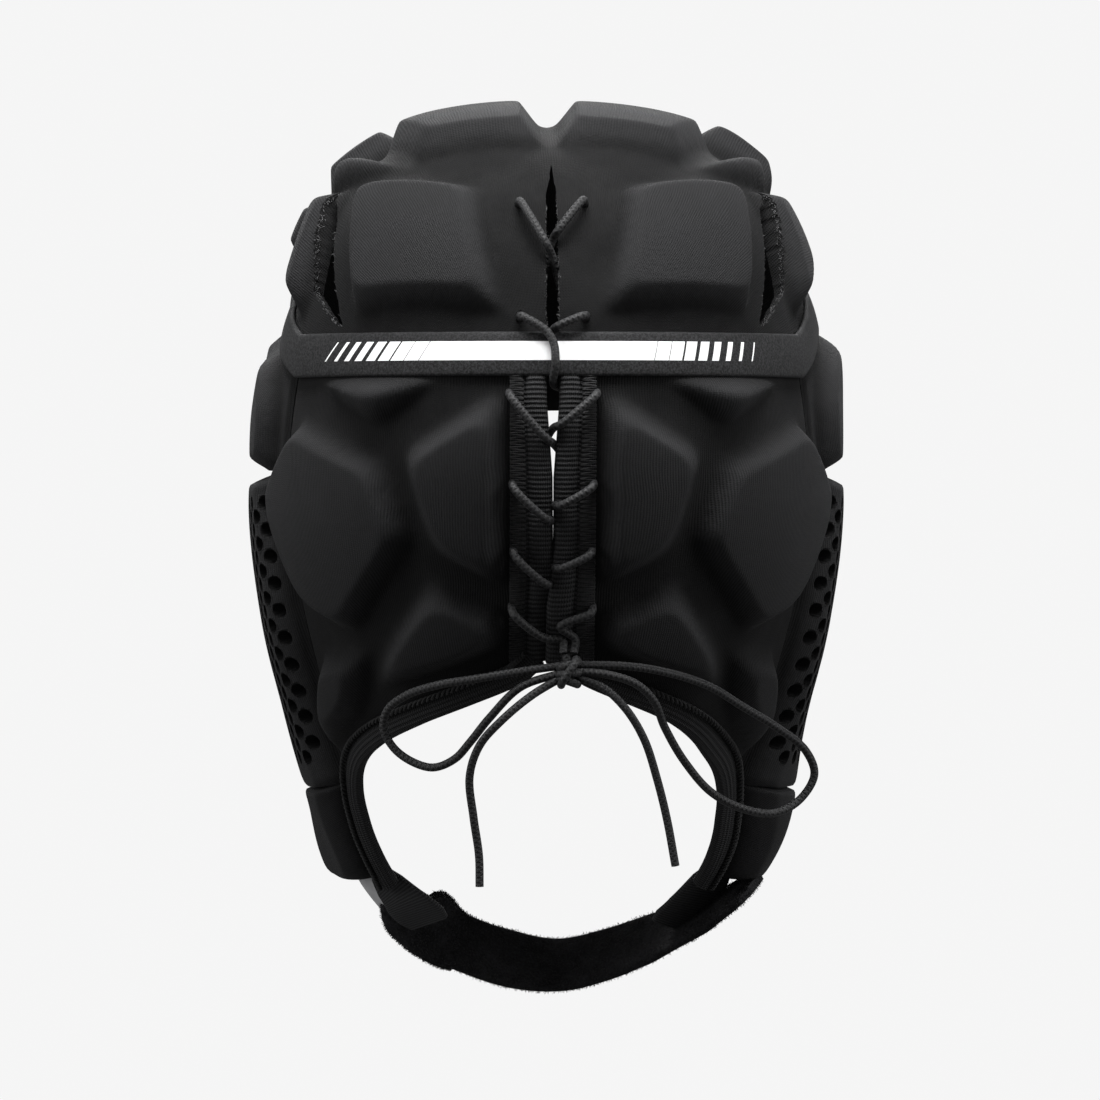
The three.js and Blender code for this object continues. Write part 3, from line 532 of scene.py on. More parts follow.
class Pad:
    """A raised pad: a flat chart that touches the head in the middle of its corners."""

    def __init__(self, view, corners, rise):
        along = HEAD_HALF_LENGTH if view == "top" else -HEAD_DROP
        across = HEAD_HALF_LENGTH if view == "side" else HEAD_HALF_WIDTH
        places = [seen_from(view, p * across, q * along, CLOTH_WALL + rise / 2) for p, q in corners]
        levels, azimuths = (np.array(v) for v in zip(*places))
        feet = head_point(levels, azimuths)
        self.rise = rise
        self.centre = feet.mean(0)
        self.out = unit(head_normal(levels, azimuths).sum(0))
        side = np.array((0.0, 1, 0) if abs(self.out[0]) > 0.8 else (1.0, 0, 0))
        self.right = unit(side - self.out * side.dot(self.out))
        self.up = np.cross(self.out, self.right)
        flat = np.stack([(feet - self.centre) @ self.right, (feet - self.centre) @ self.up], -1)
        after = np.roll(flat, -1, 0)
        turn = np.sign(np.sum(flat[:, 0] * after[:, 1] - flat[:, 1] * after[:, 0]))
        edge = unit(after - flat)
        self.flat = flat
        self.inwards = turn * np.stack([-edge[:, 1], edge[:, 0]], -1)

    def mirrored(self):
        twin = copy.copy(self)
        flip = np.array((-1.0, 1, 1))
        twin.centre, twin.out = self.centre * flip, self.out * flip
        twin.right, twin.up = self.right * flip, self.up * flip
        return twin

    def chart(self, points):
        away = points - self.centre
        return np.stack([away @ self.right, away @ self.up], -1), away @ self.out

    def depth(self, points):
        """How far inside the rounded outline each point lies."""
        flat, off = self.chart(points)
        sides = [(flat - corner) @ inwards for corner, inwards in zip(self.flat, self.inwards)]
        depth = -PAD_CORNER * np.log(sum(np.exp(-np.clip(s, -60, 60) / PAD_CORNER) for s in sides))
        return np.where(off > -32, depth, -99.0)


def soft_ramp(at, width, foot, top):
    """Rises from 0 to 1 over a width, rounded at the foot and the top."""
    low = np.sqrt(at**2 + foot**2)
    high = np.sqrt((at - width) ** 2 + top**2)
    return (low - high + width) / (2 * width)


def pads_of(rows, rise, both_sides=False):
    pads = [Pad(view, corners, own[0] if own else rise) for view, corners, *own in rows]
    return pads + [pad.mirrored() for pad in pads] if both_sides else pads


SHOULDER_FOOT_ROUND = 1.4
SHOULDER_TOP_ROUND = 0.45
PAD_CROWNING = 0.9
PAD_CROWNING_REACH = 16.0


def pad_height(pads, points):
    """Height of the pads over the cloth."""
    height = np.zeros(points.shape[:-1])
    for pad in pads:
        depth = pad.depth(points)
        crowning = PAD_CROWNING * (1 - np.exp(-np.maximum(depth, 0) / PAD_CROWNING_REACH))
        ramp = soft_ramp(depth, PAD_SHOULDER, SHOULDER_FOOT_ROUND, SHOULDER_TOP_ROUND)
        height = np.maximum(height, ramp * (pad.rise - PAD_CROWNING) + crowning)
    return height


# Slow unevenness of sewn cloth, from a few crossing waves
def unevenness(points, length, seed):
    chance = np.random.default_rng(seed)
    total = np.zeros(points.shape[:-1])
    for _ in range(7):
        way = unit(chance.normal(size=3))
        wave = 2 * math.pi / (length * chance.uniform(0.7, 1.5))
        total += np.sin(points @ way * wave + chance.uniform(0, 7))
    return total / 7


# Meshes
def make_piece(name, points, faces, smooth=True, marks=None):
    """Mesh object from points in millimetres. marks are named numbers, one to a point."""
    mesh = bpy.data.meshes.new(name)
    points = np.asarray(points, float).reshape(-1, 3)
    mesh.from_pydata((points * MM).tolist(), [], [list(map(int, f)) for f in faces])
    for key, values in (marks or {}).items():
        layer = mesh.attributes.new(key, "FLOAT", "POINT")
        layer.data.foreach_set("value", np.asarray(values, np.float32).ravel())
    if smooth:
        mesh.shade_smooth()
    mesh.validate()
    thing = bpy.data.objects.new(name, mesh)
    bpy.context.scene.collection.objects.link(thing)
    return thing


def grid_faces(nu, nv, start=0, flip=False, closed=False):
    i, j = np.meshgrid(np.arange(nu if closed else nu - 1), np.arange(nv - 1))
    a = start + j * nu + i
    b = start + j * nu + (i + 1) % nu
    c, d = b + nu, a + nu
    quads = np.stack([a, d, c, b] if not flip else [a, b, c, d], -1)
    return quads.reshape(-1, 4).tolist()


def shell_faces(nu, nv):
    """Faces of a closed shell: an outer grid, an inner grid and the rims between them."""
    inner = nu * nv
    faces = grid_faces(nu, nv) + grid_faces(nu, nv, inner, flip=True)
    for i in range(nu - 1):
        faces.append([i, i + 1, inner + i + 1, inner + i])
        top = (nv - 1) * nu + i
        faces.append([top, inner + top, inner + top + 1, top + 1])
    for j in range(nv - 1):
        left = j * nu
        faces.append([left, inner + left, inner + left + nu, left + nu])
        right = left + nu - 1
        faces.append([right, right + nu, inner + right + nu, inner + right])
    return faces


def edge_distance(points):
    """Distance over a grid of points to the nearest of its four edges."""
    along_u = np.cumsum(np.linalg.norm(np.diff(points, axis=1, prepend=points[:, :1]), axis=-1), axis=1)
    along_v = np.cumsum(np.linalg.norm(np.diff(points, axis=0, prepend=points[:1]), axis=-1), axis=0)
    return [along_u, along_u[:, -1:] - along_u, along_v, along_v[-1:] - along_v]


def tucked(distance, depth, reach):
    return -depth * np.exp(-((distance / reach) ** 2))


def raised_share(height):
    """0 in the valleys between the pads, and 1 on the pads. It sets where shade is painted into the knit's
    colour, and where the cloth is pulled.
    """
    return np.clip((height - CLOTH_WALL) / 7, 0, 1)


def panel(name, place, columns, rows, height_over):
    """Padded shell over a patch of the head. height_over(points, edges) gives the height of
    its outer face."""
    u, v = np.meshgrid(np.linspace(0, 1, columns), np.linspace(0, 1, rows))
    level, azimuth = place(u, v)
    base = head_point(level, azimuth)
    normal = head_normal(level, azimuth)
    height = height_over(base, edge_distance(base))
    outer = base + normal * height[..., None]
    points = np.concatenate([outer.reshape(-1, 3), base.reshape(-1, 3)])
    raised = np.concatenate([raised_share(height).ravel(), np.ones(columns * rows)])
    return make_piece(name, points, shell_faces(columns, rows), marks={"raised": raised})


def mirror_twin(piece, name):
    """The left twin of a right piece."""
    twin = bpy.data.objects.new(name, piece.data.copy())
    bpy.context.scene.collection.objects.link(twin)
    twin.data.transform(Matrix.Diagonal((-1, 1, 1, 1)))
    twin.data.flip_normals()
    return twin


def cut(piece, cutter):
    """Cuts one closed mesh out of another."""
    tool = piece.modifiers.new("cut", "BOOLEAN")
    tool.operation = "DIFFERENCE"
    tool.solver = "MANIFOLD"
    tool.object = cutter
    bpy.context.view_layer.update()
    evaluated = piece.evaluated_get(bpy.context.evaluated_depsgraph_get())
    mesh = bpy.data.meshes.new_from_object(evaluated)
    piece.modifiers.clear()
    old = piece.data
    piece.data = mesh
    bpy.data.meshes.remove(old)
    bpy.data.objects.remove(cutter)


def sharpen(piece, angle=50):
    piece.data.shade_smooth()
    piece.data.set_sharp_from_angle(angle=angle * DEGREE)


def worn(piece):
    """Moves a piece's cloth to where it lies on the worn cap."""
    mesh = piece.data
    points = np.empty(len(mesh.vertices) * 3, np.float32)
    mesh.vertices.foreach_get("co", points)
    points = points.reshape(-1, 3)
    shift = np.zeros_like(points)
    for place, reach, way in SETTLED:
        away = np.linalg.norm(points / MM - place, axis=1)
        shift += np.exp(-((away / reach) ** 2))[:, None] * np.array(way) * MM
    mesh.vertices.foreach_set("co", (points + shift).ravel())
    mesh.update()


def settle(piece, slot, node, material):
    """Moves a piece to where it lies on the worn cap unless its slot is elastic_lace, gives it its body,
    hides the CAD node it stands for and gives it its finish.
    """
    if slot != "elastic_lace":
        worn(piece)
    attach(piece, "root")
    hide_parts(node)
    piece.data.materials.clear()
    piece.data.materials.append(material)
    return piece


# Finishes
class Value:
    """A node's output that takes part in arithmetic."""

    def __init__(self, finish, socket):
        self.finish = finish
        self.socket = socket

    def __add__(self, other):
        return self.finish.maths("ADD", self, other)

    def __radd__(self, other):
        return self.finish.maths("ADD", other, self)

    def __sub__(self, other):
        return self.finish.maths("SUBTRACT", self, other)

    def __rsub__(self, other):
        return self.finish.maths("SUBTRACT", other, self)

    def __mul__(self, other):
        return self.finish.maths("MULTIPLY", self, other)

    def __rmul__(self, other):
        return self.finish.maths("MULTIPLY", other, self)

    def __truediv__(self, other):
        return self.finish.maths("DIVIDE", self, other)

    def __gt__(self, other):
        return self.finish.maths("GREATER_THAN", self, other)

    def __lt__(self, other):
        return self.finish.maths("LESS_THAN", self, other)


class Finish:
    """The nodes of one material."""

    def __init__(self, name):
        self.material = bpy.data.materials.new(name)
        self.material.use_nodes = True
        self.tree = self.material.node_tree
        self.tree.nodes.clear()
        self.shader = self.add("BsdfPrincipled")
        out = self.add("OutputMaterial")
        self.tree.links.new(self.shader.outputs[0], out.inputs[0])

    def add(self, kind, settings=None):
        node = self.tree.nodes.new("ShaderNode" + kind)
        for key, value in (settings or {}).items():
            setattr(node, key, value)
        return node

    def feed(self, socket, value):
        if isinstance(value, Value):
            self.tree.links.new(value.socket, socket)
        elif value is not None:
            socket.default_value = value

    def node(self, kind, settings=None, inputs=None, output=0):
        node = self.add(kind, settings)
        for key, value in (inputs or {}).items():
            self.feed(node.inputs[key], value)
        return Value(self, node.outputs[output])

    def maths(self, operation, *values):
        return self.node("Math", {"operation": operation}, dict(enumerate(values)))

    def sine(self, value):
        return self.maths("SINE", value)

    def blend(self, factor, a, b):
        a, b = ((*colour, 1) if isinstance(colour, tuple) else colour for colour in (a, b))
        return self.node("Mix", {"data_type": "RGBA"}, {0: factor, 6: a, 7: b}, output=2)

    def ramp(self, value, low, high, start=0.0, stop=1.0):
        names = {"Value": value, "From Min": low, "From Max": high, "To Min": start, "To Max": stop}
        return self.node("MapRange", {"interpolation_type": "SMOOTHSTEP"}, names)

    def mark(self, name):
        return self.node("Attribute", {"attribute_name": name}, output=2)

    def place(self):
        """Position on the object, in metres."""
        return self.node("TexCoord", output=3)

    def axes(self):
        """Position on the object, in millimetres, as three values."""
        place = self.place()
        return [self.node("SeparateXYZ", inputs={0: place}, output=k) * 1000 for k in range(3)]

    def noise(self, scale, detail=3.0, roughness=0.55):
        names = {"Vector": self.place(), "Scale": scale, "Detail": detail, "Roughness": roughness}
        return self.node("TexNoise", inputs=names)

    def bump(self, height, distance, strength=1.0):
        names = {"Height": height, "Distance": distance * MM, "Strength": strength}
        return self.node("Bump", inputs=names)

    def set(self, **values):
        """Sets the shader's sockets. A name is the socket's, with _ for a space."""
        for key, value in values.items():
            self.feed(self.shader.inputs[key.replace("_", " ")], value)
        return self.material


WEAVE_WAVE = 2 * math.pi
SHEEN_ROUGHNESS = 0.35
SHEEN_TINT = (0.5, 0.5, 0.52, 1)

# Knit: width of a rib and a course, height of the folds where the cloth is pulled, and the
# radii at which its ribs are counted over the top and round the head
KNIT_RIB = 0.68
KNIT_COURSE = 0.52
PULLED_CLOTH = 30
TOP_GRAIN_RADIUS = 92.0
TOP_GRAIN_DROP = 105.0
ROUND_GRAIN_RADIUS = 84.0

# Band, tapes, lace and their yarns
BAND_STITCH = 0.9
BAND_STITCH_ROW = 1.5
TAPE_YARN = 0.55
BRAID_TURN = 1.5
BRAID_YARNS = 3


def soft_sheen(weight):
    return {"Sheen_Weight": weight, "Sheen_Roughness": SHEEN_ROUGHNESS, "Sheen_Tint": SHEEN_TINT}


def knit(name, grain_of, dark, light):
    """Warp knit: fine ribs along the cloth, crossed by courses, with shade painted into the valleys between
    the pads.
    """
    f = Finish(name)
    x, y, z = f.axes()
    grain, along = grain_of(f, x, y, z)
    wander = (f.noise(45, 2) - 0.5) * 3.0
    rib = f.sine((grain + wander) * (WEAVE_WAVE / KNIT_RIB))
    shift = f.sine(grain * (math.pi / KNIT_RIB)) * 1.2
    course = f.sine((along + wander) * (WEAVE_WAVE / KNIT_COURSE) + shift)
    patches = f.noise(60, 4, 0.65)
    fuzz = f.noise(2600, 2, 0.6)
    stitches = rib * 0.5 + course * 0.22 + fuzz * 0.8
    tone = patches * 0.5 + rib * 0.13 + fuzz * 0.35
    colour = f.blend(f.ramp(tone, 0.12, 0.72), dark, light)
    raised = f.mark("raised")
    # Painted shade: the colour turns darker in the valleys between the pads, where the raised mark is low
    colour = f.blend(f.ramp(raised, 0.05, 0.85), VALLEY_PAINTED_SHADE, colour)
    pulled = f.noise(150, 3, 0.6) * raised * (1.05 - raised)
    normal = f.bump(stitches + pulled * PULLED_CLOTH, 0.11, 0.8)
    return f.set(
        Base_Color=colour,
        Roughness=f.ramp(patches, 0.3, 0.7, 0.78, 0.9),
        Normal=normal,
        Specular_IOR_Level=0.18,
        **soft_sheen(0.05),
    )


def grain_over_top(f, x, y, z):
    """Ribs that run from front to back over the crown."""
    return f.maths("ARCTAN2", x, z + TOP_GRAIN_DROP) * TOP_GRAIN_RADIUS, y - z


def grain_round_head(f, x, y, z):
    """Ribs that run up and down round the head."""
    return f.maths("ARCTAN2", x, 0 - y) * ROUND_GRAIN_RADIUS, z


def stripe_print():
    """Smooth band with a white printed stripe that breaks into slanted bars."""
    f = Finish("printed_band")
    along, across, side = f.mark("along"), f.mark("across"), f.mark("side")
    reach = f.mark("reach")
    up = (across - STRIPE_MIDDLE) / STRIPE_HEIGHT
    start, first, growth, lean = (a + (b - a) * side for a, b in zip(STRIPE_LEFT, STRIPE_RIGHT))
    from_start = start - reach - up * lean
    spacing = f.maths("SQRT", f.maths("MAXIMUM", first * first + growth * 4 * from_start, 0.01))
    count = (spacing - first) / (growth * 2)
    number = f.maths("ROUND", count)
    half = (number * STRIPE_BAR_GROWTH + STRIPE_FIRST_BAR) * 0.5
    bar = (f.maths("ABSOLUTE", count - number) * spacing < half) * (count > -0.4)
    gap_line = f.maths("ABSOLUTE", count - STRIPE_BARS) * spacing < STRIPE_GAP_LINE
    inside = f.maths("ABSOLUTE", up) < 0.5
    white = f.maths("MAXIMUM", bar, count > STRIPE_BARS) * inside * (f.mark("face") > 0.5)
    white = white * (1 - gap_line * 0.7)
    grit = f.noise(1500, 3, 0.7)
    black = f.blend(f.ramp(grit, 0.35, 0.7), BAND_DARK, BAND_LIGHT)
    paper = f.blend(f.ramp(f.noise(300, 4), 0.3, 0.75), PRINT_DARK, PRINT_LIGHT)
    row = f.ramp(f.maths("ABSOLUTE", across - BAND_STITCH_ROW), 0.0, 0.9, 1, 0)
    stitch = f.sine(along * (WEAVE_WAVE / BAND_STITCH)) * row
    normal = f.bump(grit * 0.6 + stitch * 0.3 + white * 0.4, 0.12, 0.7)
    return f.set(
        Base_Color=f.blend(white, black, paper),
        Roughness=f.ramp(white, 0, 1, 0.75, 0.5),
        Normal=normal,
        Specular_IOR_Level=0.2,
        **soft_sheen(0.02),
    )


def ribbed_tape(name, pitch, dark, light, depth):
    """Woven tape with ribs across its length."""
    f = Finish(name)
    along, across = f.mark("along"), f.mark("across")
    rib = f.sine(along * (WEAVE_WAVE / pitch))
    yarn = f.sine(across * (WEAVE_WAVE / TAPE_YARN) + rib * 0.9)
    fuzz = f.noise(2400, 3, 0.65)
    tone = rib * 0.32 + yarn * 0.12 + fuzz * 0.7
    colour = f.blend(f.ramp(tone, 0.0, 0.8), dark, light)
    normal = f.bump(rib * 0.7 + yarn * 0.25 + fuzz * 0.35, depth, 0.9)
    return f.set(Base_Color=colour, Roughness=0.8, Normal=normal, Specular_IOR_Level=0.2, **soft_sheen(0.04))


def braided(name, dark, light):
    """Braided elastic: yarns that cross as two sets of turns round the cord."""
    f = Finish(name)
    along, turn = f.mark("along"), f.mark("turn")
    one = f.sine((along / BRAID_TURN + turn * BRAID_YARNS) * WEAVE_WAVE)
    other = f.sine((along / BRAID_TURN - turn * BRAID_YARNS) * WEAVE_WAVE)
    yarn = f.maths("MAXIMUM", one, other)
    fuzz = f.noise(2200, 3, 0.6)
    tone = yarn * 0.35 + fuzz * 0.6
    colour = f.blend(f.ramp(tone, 0.15, 0.85), dark, light)
    normal = f.bump(yarn * 0.6 + fuzz * 0.3, 0.14, 0.9)
    return f.set(Base_Color=colour, Roughness=0.6, Normal=normal, Specular_IOR_Level=0.3, **soft_sheen(0.04))


def pile(name):
    """Loop pile: a dense soft nap."""
    f = Finish(name)
    nap = f.noise(1400, 4, 0.7)
    brushed = f.noise(110, 3, 0.6)
    colour = f.blend(f.ramp(nap * 0.6 + brushed * 0.5, 0.35, 0.8), PILE_DARK, PILE_LIGHT)
    normal = f.bump(nap + brushed * 0.4, 0.35)
    sheen = soft_sheen(0.05)
    return f.set(Base_Color=colour, Roughness=0.95, Normal=normal, Specular_IOR_Level=0.12, **sheen)


def fibre(name, tone):
    f = Finish(name)
    shade = f.ramp(f.noise(700, 2), 0.3, 0.7, 0.6, 1.3)
    colour = f.blend(shade, (0.0, 0.0, 0.0), (tone, tone, tone * 1.02))
    return f.set(Base_Color=colour, Roughness=0.8, Specular_IOR_Level=0.2, **soft_sheen(0.03))


def grey_plastic():
    f = Finish("grey_plastic")
    cloud = f.noise(140, 4, 0.6)
    colour = f.blend(f.ramp(cloud, 0.35, 0.65), KEEPER_DARK, KEEPER_LIGHT)
    normal = f.bump(f.noise(900, 3) * 0.5 + cloud, 0.08, 0.5)
    return f.set(Base_Color=colour, Roughness=f.ramp(cloud, 0.3, 0.7, 0.28, 0.45), Normal=normal)


# Printed stripe: its bars are spaced from its outer end. Each row gives the outer end's distance
# from the middle, the first spacing, how the spacing grows, and the bars' lean
STRIPE_LEFT = (61.4, 2.75, 0.09, 2.9)
STRIPE_RIGHT = (56.6, 3.4, 0.04, -1.35)
STRIPE_HEIGHT = 5.5
STRIPE_MIDDLE = 7.3
STRIPE_BARS = 7.5
STRIPE_FIRST_BAR = 0.36
STRIPE_BAR_GROWTH = 0.53
STRIPE_GAP_LINE = 0.14

KNIT_DARK = (0.0068, 0.0068, 0.0072)
KNIT_LIGHT = (0.0185, 0.0186, 0.0196)
# Painted shade: the dark colour given to the valleys between the pads
VALLEY_PAINTED_SHADE = (0.0025, 0.0025, 0.0027)
TAPE_DARK = (0.004, 0.004, 0.0042)
TAPE_LIGHT = (0.026, 0.0262, 0.0275)
WEBBING_DARK = (0.016, 0.0162, 0.017)
WEBBING_LIGHT = (0.04, 0.0404, 0.042)
CORD_DARK = (0.005, 0.005, 0.0053)
CORD_LIGHT = (0.026, 0.0262, 0.0275)
BAND_DARK = (0.005, 0.005, 0.0053)
BAND_LIGHT = (0.03, 0.0302, 0.0315)
PRINT_DARK = (0.86, 0.86, 0.86)
PRINT_LIGHT = (0.93, 0.93, 0.93)
PILE_DARK = (0.006, 0.006, 0.0065)
PILE_LIGHT = (0.026, 0.026, 0.028)
KEEPER_DARK = (0.4, 0.404, 0.415)
KEEPER_LIGHT = (0.52, 0.524, 0.535)
FRAY_TONE = 0.11
STITCH_TONE = 0.022
PILE_TONE = 0.02


# Crown
def crown_height(points):
    return CLOTH_WALL + pad_height(crown_pads, points) + 0.28 * unevenness(points, 42, 3)


def crown_mesh():
    columns, rows, inner_rows = 540, 150, 12
    azimuth = np.linspace(-90, 270, columns + 1)[:-1] * DEGREE
    edge = level_at(crown_edge_z(azimuth))

    def sheet(count):
        level = np.linspace(0, 1, count + 1)[1:, None] * edge
        turned = azimuth + 0 * level
        return level, turned, head_point(level, turned)

    level, turned, base = sheet(rows)
    steps = np.linalg.norm(np.diff(base, axis=0, append=base[-1:]), axis=-1)
    to_edge = np.cumsum(steps[::-1], axis=0)[::-1]
    height = crown_height(base) + tucked(to_edge, 1.2, 1.8)
    outer = base + head_normal(level, turned) * height[..., None]
    inner = sheet(inner_rows)[2]
    top = np.array([[0, 0, float(crown_height(np.zeros((1, 3)))[0])]])
    points = np.concatenate([top, outer.reshape(-1, 3), np.zeros((1, 3)), inner.reshape(-1, 3)])
    raised = np.concatenate([[0.3], raised_share(height).ravel(), np.ones(1 + inner_rows * columns)])
    start, under = 1, 1 + rows * columns
    faces = grid_faces(columns, rows, start, closed=True)
    faces += grid_faces(columns, inner_rows, under + 1, flip=True, closed=True)
    last, last_inner = start + (rows - 1) * columns, under + 1 + (inner_rows - 1) * columns
    for i in range(columns):
        j = (i + 1) % columns
        faces.append([0, start + i, start + j])
        faces.append([under, under + 1 + j, under + 1 + i])
        faces.append([last + j, last + i, last_inner + i, last_inner + j])
    return make_piece("crown_cloth", points, faces, marks={"raised": raised})


def ragged(outline, step, amount, seed):
    """Outline with points a step apart, pushed about as a raw cut is."""
    chance = random.Random(seed)
    points = []
    for a, b in zip(outline, outline[1:] + outline[:1]):
        a, b = np.array(a), np.array(b)
        count = max(int(np.linalg.norm(b - a) / step), 1)
        for i in range(count):
            push = np.array([chance.uniform(-1, 1), chance.uniform(-1, 1)]) * amount
            points.append(a + (b - a) * i / count + push)
    return points


def prism(name, outline, frame_of, low, high):
    """Closed prism over an outline in a flat chart."""
    centre, right, up, out = frame_of
    ring = np.array([centre + right * p[0] + up * p[1] for p in outline])
    points = np.concatenate([ring + out * low, ring + out * high])
    n = len(outline)
    faces = [list(range(n - 1, -1, -1)), list(range(n, 2 * n))]
    faces += [[i, (i + 1) % n, n + (i + 1) % n, n + i] for i in range(n)]
    piece = make_piece(name, points, faces, smooth=False)
    return outwards(piece)


def outwards(piece):
    """Turns a closed mesh's faces to point out."""
    mesh = piece.data
    mesh.calc_loop_triangles()
    volume = 0
    for triangle in mesh.loop_triangles:
        a, b, c = (mesh.vertices[k].co for k in triangle.vertices)
        volume += a.dot(b.cross(c))
    if volume < 0:
        mesh.flip_normals()
    return piece


def vent_cut(side):
    """Outline and chart of a side vent."""
    pad = Pad("rear", VENT_CORNERS, 0)
    if side < 0:
        pad = pad.mirrored()
    outline = ragged([tuple(p) for p in pad.flat], 1.1, 0.28, 40 + side)
    return outline, (pad.centre, pad.right, pad.up, pad.out)


def slit_cut():
    """Outline and chart of the top of the lacing slit."""
    top, bottom = -SLIT_TOP_DROP, -HEAD_DROP * 0.36
    half = SLIT_HALF_WIDTH
    left = [(-half * 0.8, top - 8), (-half, top - 22), (-half, bottom)]
    right = [(half, bottom), (half, top - 20), (half * 0.7, top - 7)]
    outline = ragged([(0.2, top + 1)] + left + right, 1.3, 0.16, 8)
    ways = ((0, -HEAD_HALF_LENGTH * 1.05, 0), (1, 0, 0), (0, 0, 1), (0, -1, 0))
    return outline, tuple(np.array(v, float) for v in ways)


LACE_HOLE_HALVES = (1.35, 2.0)
EAR_HOLE_HALVES = (2.1, 2.3)


def hole_cutter(name, level, azimuth, halves, low, high):
    """Oval prism through the cloth. halves are its half width and half height."""
    centre, out = head_point(level, azimuth), head_normal(level, azimuth)
    right = unit(np.cross((0.0, 0, 1), out))
    turns = np.linspace(0, 2 * math.pi, 13)[:-1]
    outline = [(halves[0] * math.cos(a), halves[1] * math.sin(a)) for a in turns]
    return prism(name, outline, (centre, right, np.cross(out, right), out), low, high)


def crown():
    piece = crown_mesh()
    cuts = [
        ("slit", slit_cut(), -48, 48),
        ("vent_right", vent_cut(1), -14, 26),
        ("vent_left", vent_cut(-1), -14, 26),
    ]
    for name, (outline, chart), low, high in cuts:
        cut(piece, prism(name + "_cutter", outline, chart, low, high))
    for reach, drop, *_ in LACE_HOLES[:2]:
        for side in (1, -1):
            level, azimuth = beside_slit(-drop * HEAD_DROP, side * reach * HEAD_HALF_WIDTH)
            cut(piece, hole_cutter("lace_hole", level, azimuth, LACE_HOLE_HALVES, -9, 18))
    for seed, (name, (outline, chart), low, high) in enumerate(cuts):
        fray = frayed(name + "_fray", outline, chart, piece, 60 + seed)
        settle(fray, "padded_knit", "crown", fray_thread)
    sharpen(piece)
    settle(piece, "padded_knit", "crown", knit_over_top)


# Back panels
BACK_SLIT_EDGE = SLIT_HALF_WIDTH + 0.8
PANEL_UNDER_SEAM = 1.8


def back_place(u, v):
    bottom_azimuth, bottom_z = neck_edge(u * CORNER_SHARE, PANEL_INSET - PANEL_UNDER_SEAM)

    def edge(z):
        return beside_slit(z, BACK_SLIT_EDGE)[1]

    share = (bottom_azimuth - edge(bottom_z)) / (seam_azimuth(bottom_z) - edge(bottom_z))
    share = np.where(u == 0, 0, np.clip(share, 0, 1))
    top = -HEAD_DROP * CROWN_EDGE[0][1] - SEAM_GAP
    z = top + (bottom_z - top) * v
    return level_at(z), edge(z) + (seam_azimuth(z) - edge(z)) * share


def cloth_over(pads, seed):
    def height(points, edges):
        height = CLOTH_WALL + pad_height(pads, points) + 0.25 * unevenness(points, 38, seed)
        for to_edge in edges:
            height = height + tucked(to_edge, 1.1, 1.7)
        return height

    return height


def back_panel():
    piece = panel("back_panel_cloth_right", back_place, 140, 170, cloth_over(back_pads, 5))
    sharpen(piece)
    return piece


def side_place(u, v):
    top = np.full_like(u, -HEAD_DROP * 0.25)
    for _ in range(6):
        azimuth = rear_azimuth(top) + (face_azimuth(top) - rear_azimuth(top)) * u
        top = crown_edge_z(azimuth) - SEAM_GAP
    bottom = -HEAD_DROP * EAR_TOP + SEAM_GAP / 2
    z = top + (bottom - top) * v
    return column_spot(z, u)


def column_spot(z, u):
    """Level and azimuth at a share of the way from the rear edge to the face."""
    return level_at(z), rear_azimuth(z) + (face_azimuth(z) - rear_azimuth(z)) * u


def column_place(top, bottom):
    def place(u, v):
        return column_spot(top + (bottom - top) * v, u)

    return place


def side_panel():
    piece = panel("side_panel_cloth_right", side_place, 120, 60, cloth_over(side_pads, 6))
    sharpen(piece)
    return piece


def raised_all_over(rise, shoulders, seed):
    """A padded piece that rises inside its whole edge. shoulders are the widths of its slopes
    at the rear, front, top and bottom edges."""

    def height(points, edges):
        widest = max(shoulders)
        scaled = [edge * widest / shoulder for edge, shoulder in zip(edges, shoulders)]
        sides = sum(np.exp(-np.clip(e, 0, 90) / PAD_CORNER) for e in scaled)
        depth = -PAD_CORNER * np.log(sides) - 1.0
        crowning = PAD_CROWNING * (1 - np.exp(-np.maximum(depth, 0) / PAD_CROWNING_REACH))
        ramp = soft_ramp(depth, widest, SHOULDER_FOOT_ROUND, 0.8)
        height = CLOTH_WALL + ramp * (rise - PAD_CROWNING) + crowning + 0.2 * unevenness(points, 30, seed)
        nearest = np.minimum.reduce(edges)
        return height + tucked(nearest, 1.4, 1.5)

    return height


EAR_TOP_Z = -HEAD_DROP * EAR_TOP - SEAM_GAP / 2
EAR_BOTTOM_Z = -HEAD_DROP * EAR_BOTTOM + SEAM_GAP / 2
EAR_HOLE_PITCH = 7.6
EAR_SHOULDERS = (8.5, 6.0, 3.4, 1.6)
EAR_EDGE = 9.0
EAR_REAR_EDGE = 4.6


def ear_holes(place):
    """Centres of the holes: staggered columns inside the raised edge."""
    spots = []
    rows = int((EAR_TOP_Z - EAR_BOTTOM_Z - 2 * EAR_EDGE) / (EAR_HOLE_PITCH / 2))
    for j in range(rows + 1):
        z = EAR_TOP_Z - EAR_EDGE - j * EAR_HOLE_PITCH / 2
        v = np.array((z - EAR_TOP_Z) / (EAR_BOTTOM_Z - EAR_TOP_Z))
        span = float((face_azimuth(z) - rear_azimuth(z)) * head_section(level_at(z))[1]) + 6
        count = int((span - EAR_EDGE - EAR_REAR_EDGE) / EAR_HOLE_PITCH)
        for i in range(count):
            across = EAR_REAR_EDGE + (i + (0.75 if j % 2 else 0.25)) * EAR_HOLE_PITCH
            spots.append(place(np.array(across / span), v))
    return spots


def ear_panel():
    place = column_place(EAR_TOP_Z, EAR_BOTTOM_Z)
    height = raised_all_over(EAR_PAD_RISE, EAR_SHOULDERS, 7)
    piece = panel("ear_panel_cloth_right", place, 90, 100, height)
    cutters = [hole_cutter("ear_hole", *spot, EAR_HOLE_HALVES, -6, 20) for spot in ear_holes(place)]
    cut(piece, joined(cutters, "ear_holes"))
    sharpen(piece)
    return piece


